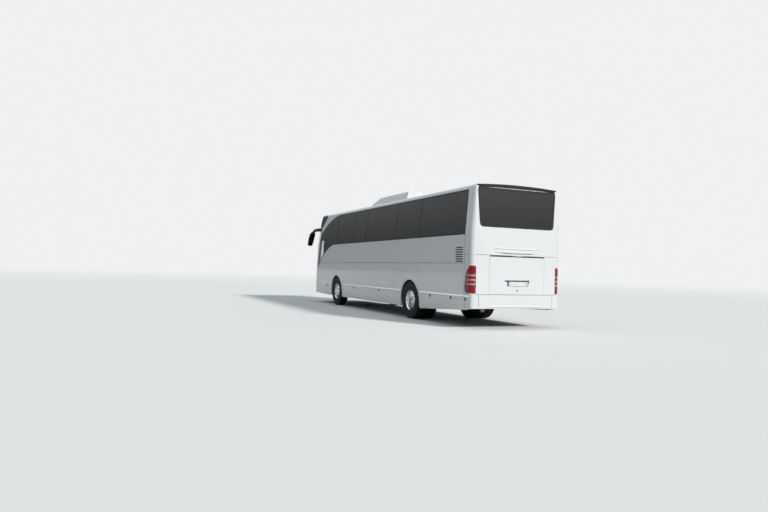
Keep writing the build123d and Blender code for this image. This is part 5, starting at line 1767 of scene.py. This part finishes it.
@dataclass
class Cabin:
    """Seats and grab rails, seen through the glass."""

    pitch: float = 0.79
    first_y: float = -3.68
    floor: float = 1.40
    platform: float = 0.90
    aisle: float = 0.21
    pair_width: float = 0.94
    recline: float = 101.5
    # side, first row and number of rows of each run of seat pairs
    runs: tuple = ((1, 0, 11), (-1, 0, 6), (-1, 8, 3))
    driver_x: float = 0.62
    driver_y: float = -4.75
    driver_width: float = 0.49
    # depth or height, and thickness, of the seat's three pads, with the places of their sewn channels
    squab: Flat = (0.44, 0.13)
    squab_channels: tuple = (-0.45, 0.25)
    back: Flat = (0.60, 0.09)
    back_channels: tuple = (-0.55, -0.15, 0.35)
    head: Flat = (0.15, 0.085)
    head_share: float = 0.62
    # place of each rail by a door, and whether it stands on the driver's platform
    rails: tuple = ((-0.50, -3.79, False), (-0.50, -5.02, True), (-0.56, 1.02, False), (-0.56, 1.99, False))

    def seat(self, width: float) -> tuple[Shape, Shape]:
        """One seat that faces forward, its front edge at Y 0 and its floor at Z 0.

        Args:
            width: Width of the seat.

        Returns:
            Its padding and its hard shell.
        """
        def leant(form: Shape, y: float, z: float) -> Shape:
            """Form at the angle of the back rest."""
            turn = Matrix.Rotation(math.radians(self.recline), 4, "X")
            return form.placed(Matrix.Translation((0, y, z)) @ turn)

        squab = soft_block((width, *self.squab), 0.040, 0.016, self.squab_channels, 0.008)
        squab = squab.at(0, 0.225, 0.40)
        back = soft_block((width - 0.01, *self.back), 0.036, 0.014, self.back_channels, 0.012)
        head = soft_block((width * self.head_share, *self.head), 0.034, 0.010, (), 0.006, 6)
        half = width / 2 - 0.01
        shell = leant(rounded_box((-half, -0.30, -0.012), (half, 0.30, 0.012), 0.008, 1), 0.548, 0.765)
        shell.join(rounded_box((-half, 0.03, 0.300), (half, 0.43, 0.345), 0.010, 1))
        return squab.join(leant(back, 0.505, 0.775), leant(head, 0.545, 1.005)), shell

    def pair(self) -> tuple[Shape, Shape]:
        """Two seats on one pedestal with armrests.

        Returns:
            Their padding, and their hard parts.
        """
        pads, hard = Shape(), Shape()
        padding, shell = self.seat(self.pair_width / 2 - 0.012)
        half = self.pair_width / 2
        for offset in (-half / 2, half / 2):
            pads.join(padding.at(offset, 0, 0))
            hard.join(shell.at(offset, 0, 0))
        for x in (-half + 0.045, half - 0.045):
            hard.join(rounded_box((x - 0.020, 0.10, 0.0), (x + 0.020, 0.40, 0.31), 0.008, 1))
        for x in (-half + 0.022, 0.0, half - 0.022):
            hard.join(rounded_box((x - 0.020, 0.14, 0.60), (x + 0.020, 0.46, 0.63), 0.010, 2))
        return pads, hard

    def dress(self, coach: Coach) -> None:
        """Place every seat and the rails.

        Args:
            coach: The coach to dress.
        """
        pads, hard = self.pair()
        cushions, shells, rails = Shape(), Shape(), Shape()
        step = (0.0, self.pitch, 0.0)
        for side, start, count in self.runs:
            place = (side * (self.aisle + self.pair_width / 2), self.first_y + start * self.pitch, self.floor)
            cushions.join(coach.along.shape(pads.at(*place), count, step, "cloth"))
            shells.join(coach.along.shape(hard.at(*place), count, step, "shell"))
        padding, shell = self.seat(self.driver_width)
        place = (self.driver_x, self.driver_y, self.platform)
        pedestal = rounded_box((-0.16, 0.10, 0.0), (0.16, 0.40, 0.31), 0.02, 1)
        cushions.join(padding.at(*place))
        shells.join(shell.at(*place), pedestal.at(*place))
        seats = coach.piece("seat_cushions", cushions, "cloth", sharp=60.0)
        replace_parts(seats, "seats")
        coach.piece("seat_shells", shells, "shell")
        for x, y, raised in self.rails:
            low = self.platform if raised else self.floor
            path = [Vector((x, y, z)) for z in (low, low + 0.45, low + 0.95)]
            rails.join(sweep(path, [circle(0.017, 10)], (0, 1, 0)))
        coach.piece("grab_rails", rails, "steel")


@dataclass
class Underside:
    """Brake chambers and dampers that show from below."""

    can: tuple = ((0.0, 0.09), (0.060, 0.086), (0.076, 0.070), (0.078, 0.012), (0.086, 0.008),
                  (0.086, -0.008), (0.078, -0.012), (0.070, -0.075), (0.030, -0.085), (0.0, -0.086))
    can_places: tuple = ((0.62, REAR_AXLE - 0.19, HUB_HEIGHT + 0.04),
                         (0.66, FRONT_AXLE + 0.145, HUB_HEIGHT - 0.10))
    # place along the coach and height of each damper's foot
    dampers: tuple = ((FRONT_AXLE - 0.12, 0.44), (REAR_AXLE + 0.16, 0.56))
    damper_top: float = 0.862

    def dress(self, coach: Coach) -> None:
        """Place the fittings under the floor.

        Args:
            coach: The coach to dress.
        """
        can = lathe(self.can, 24).placed(Matrix.Rotation(math.radians(90), 4, "X"))
        cans, dampers = Shape(), Shape()
        for sign in (1, -1):
            cans.join(*(can.at(sign * x, y, z) for x, y, z in self.can_places))
            for y, foot in self.dampers:
                path = [Vector((sign * 0.335, y, foot)), Vector((sign * 0.345, y, foot + 0.18)),
                        Vector((sign * 0.350, y, self.damper_top))]
                dampers.join(sweep(path, [circle(radius) for radius in (0.034, 0.034, 0.022)], (0, 1, 0)))
        coach.piece("brake_chambers", cans, "iron")
        coach.piece("dampers", dampers, "iron")


@dataclass
class Viewpoint:
    """Camera that stands where the photograph was taken from."""

    position: tuple = (9.025, 18.769, 1.341)
    yaw: float = 23.81
    pitch: float = 1.24
    roll: float = -1.57
    focal_px: float = 628.4
    image_width_px: float = 768.0
    sensor_mm: float = 36.0
    far_end: float = 1500.0

    def set_up(self) -> None:
        """Make the camera and its aim."""
        data = bpy.data.cameras.new("camera")
        data.sensor_width = self.sensor_mm
        data.lens = self.sensor_mm * self.focal_px / self.image_width_px
        data.clip_end = self.far_end
        yaw, pitch, roll = (math.radians(angle) for angle in (self.yaw, self.pitch, self.roll))
        ahead = Vector((-math.sin(yaw) * math.cos(pitch), -math.cos(yaw) * math.cos(pitch), math.sin(pitch)))
        level = ahead.cross(Vector((0, 0, 1))).normalized()
        down = ahead.cross(level)
        right = level * math.cos(roll) + down * math.sin(roll)
        up = level * math.sin(roll) - down * math.cos(roll)
        matrix = Matrix((right, up, -ahead)).transposed().to_4x4()
        matrix.translation = Vector(self.position)
        camera = bpy.data.objects.new("camera", data)
        camera.matrix_world = matrix
        bpy.context.scene.collection.objects.link(camera)
        bpy.context.scene.camera = camera


@dataclass
class Studio:
    """Pale floor and plain soft light, brighter from behind the coach as in the photograph."""

    floor_size: float = 900.0
    floor_color: Color = (0.86, 0.86, 0.855)
    floor_bounce: Color = (0.34, 0.34, 0.34)
    fade: Flat = (24.0, 90.0)
    sky_color: Color = (0.86, 0.875, 0.89)
    ambient: Color = (0.80, 0.94, 1.0)
    ambient_strength: float = 0.32
    # what glass and metal mirror: range of height near the horizon, and the strength at its ends
    mirrored: tuple = (0.08, 0.26, 0.20, 0.95)
    # name, direction that the light comes from, softness in degrees, strength, colour
    lamps: tuple = (
        ("key", (-0.42, 1.0, 0.66), 8.0, 2.95, (1.0, 0.98, 0.95)),
        ("top", (0.25, -0.1, 1.0), 60.0, 0.30, (1.0, 1.0, 1.0)),
        ("fill", (1.0, -0.35, 0.75), 70.0, 0.12, (0.88, 0.96, 1.0)),
    )

    def set_up(self) -> None:
        """Make the floor, the world and the lamps."""
        scene = bpy.context.scene
        scene.view_settings.view_transform = "Standard"
        self.lay_floor(scene)
        self.light_world(scene)
        for name, direction, softness, strength, color in self.lamps:
            data = bpy.data.lights.new(name, "SUN")
            data.angle = math.radians(softness)
            data.energy = strength
            data.color = color
            lamp = bpy.data.objects.new(name, data)
            lamp.location = Vector(direction) * 20.0
            lamp.rotation_mode = "QUATERNION"
            lamp.rotation_quaternion = Vector(direction).to_track_quat("Z", "Y")
            scene.collection.objects.link(lamp)

    def lay_floor(self, scene: bpy.types.Scene) -> None:
        """Wide floor that fades into the background far off.

        Args:
            scene: The scene.
        """
        half = self.floor_size / 2
        mesh = bpy.data.meshes.new("floor")
        mesh.from_pydata([(-half, -half, 0), (half, -half, 0), (half, half, 0), (-half, half, 0)], [],
                         [(0, 1, 2, 3)])
        s = Sketch("floor_pale")
        bounced = s.node("ShaderNodeLightPath").outputs["Is Diffuse Ray"]
        s.set(Base_Color=s.blend(bounced, self.floor_color, self.floor_bounce), Roughness=0.9,
              Specular_IOR_Level=0.1)
        far = s.node("ShaderNodeVectorMath", {0: s.place}, operation="LENGTH").outputs["Value"]
        fade = s.math("MULTIPLY", s.remap(far, *self.fade), s.math("SUBTRACT", 1.0, bounced))
        haze = s.node("ShaderNodeEmission", {"Color": self.sky_color})
        mix = s.node("ShaderNodeMixShader", {0: fade, 1: s.surface.outputs[0], 2: haze.outputs[0]})
        s.feed(s.tree.nodes["Material Output"].inputs["Surface"], mix.outputs[0])
        mesh.materials.append(s.material)
        floor = bpy.data.objects.new("floor", mesh)
        scene.collection.objects.link(floor)

    def light_world(self, scene: bpy.types.Scene) -> None:
        """Soft ambient light, with a pale background where it is seen or mirrored.

        Args:
            scene: The scene.
        """
        world = bpy.data.worlds.new("studio")
        world.use_nodes = True
        kit = Nodes(world.node_tree)
        light = kit.tree.nodes["Background"]
        kit.feed(light.inputs["Color"], self.ambient)
        kit.feed(light.inputs["Strength"], self.ambient_strength)
        rays = kit.node("ShaderNodeLightPath").outputs
        seen = kit.math("MAXIMUM", rays["Is Camera Ray"], rays["Is Transmission Ray"])
        shown = kit.node("ShaderNodeBackground", {"Color": self.sky_color})
        aim = kit.node("ShaderNodeSeparateXYZ", {0: kit.node("ShaderNodeTexCoord").outputs["Generated"]})
        rise = kit.remap(aim.outputs["Z"], *self.mirrored)
        gloss = kit.node("ShaderNodeBackground", {"Color": self.sky_color, "Strength": rise})
        total = light.outputs[0]
        for share, source in ((rays["Is Glossy Ray"], gloss), (seen, shown)):
            total = kit.node("ShaderNodeMixShader", {0: share, 1: total, 2: source.outputs[0]}).outputs[0]
        kit.feed(kit.tree.nodes["World Output"].inputs["Surface"], total)
        scene.world = world


def main() -> None:
    """Load the frame and dress it, sub-assembly by sub-assembly."""
    logging.basicConfig(level=logging.INFO, format="%(name)s %(message)s")
    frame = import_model()
    nodes = frame["nodes"]
    hidden = ("seats", "cockpit", "luggage_racks", "mirrors", "engine", "exhaust", "underframe",
              "air_springs")
    outer = [node for name, node in nodes.items()
             if name not in hidden and not name.startswith(("tyre_", "wheel_", "knuckle_"))]
    finishes = {key: finish.build() for key, finish in FINISHES.items()}
    coach = Coach(nodes, Skin(outer), finishes, Repeater(False, finishes), Repeater(True, finishes))
    Viewpoint().set_up()
    Studio().set_up()
    for part in (CarriedOver(), GlassBand(), Seams(), FlapEdges(), Arches(), SideFittings(), Tail(), Nose(),
                 Mirrors(), RoofGear(), Wheels(), Cabin(), Underside()):
        LOG.info("building %s", type(part).__name__)
        part.dress(coach)


if __name__ == "__main__":
    main()
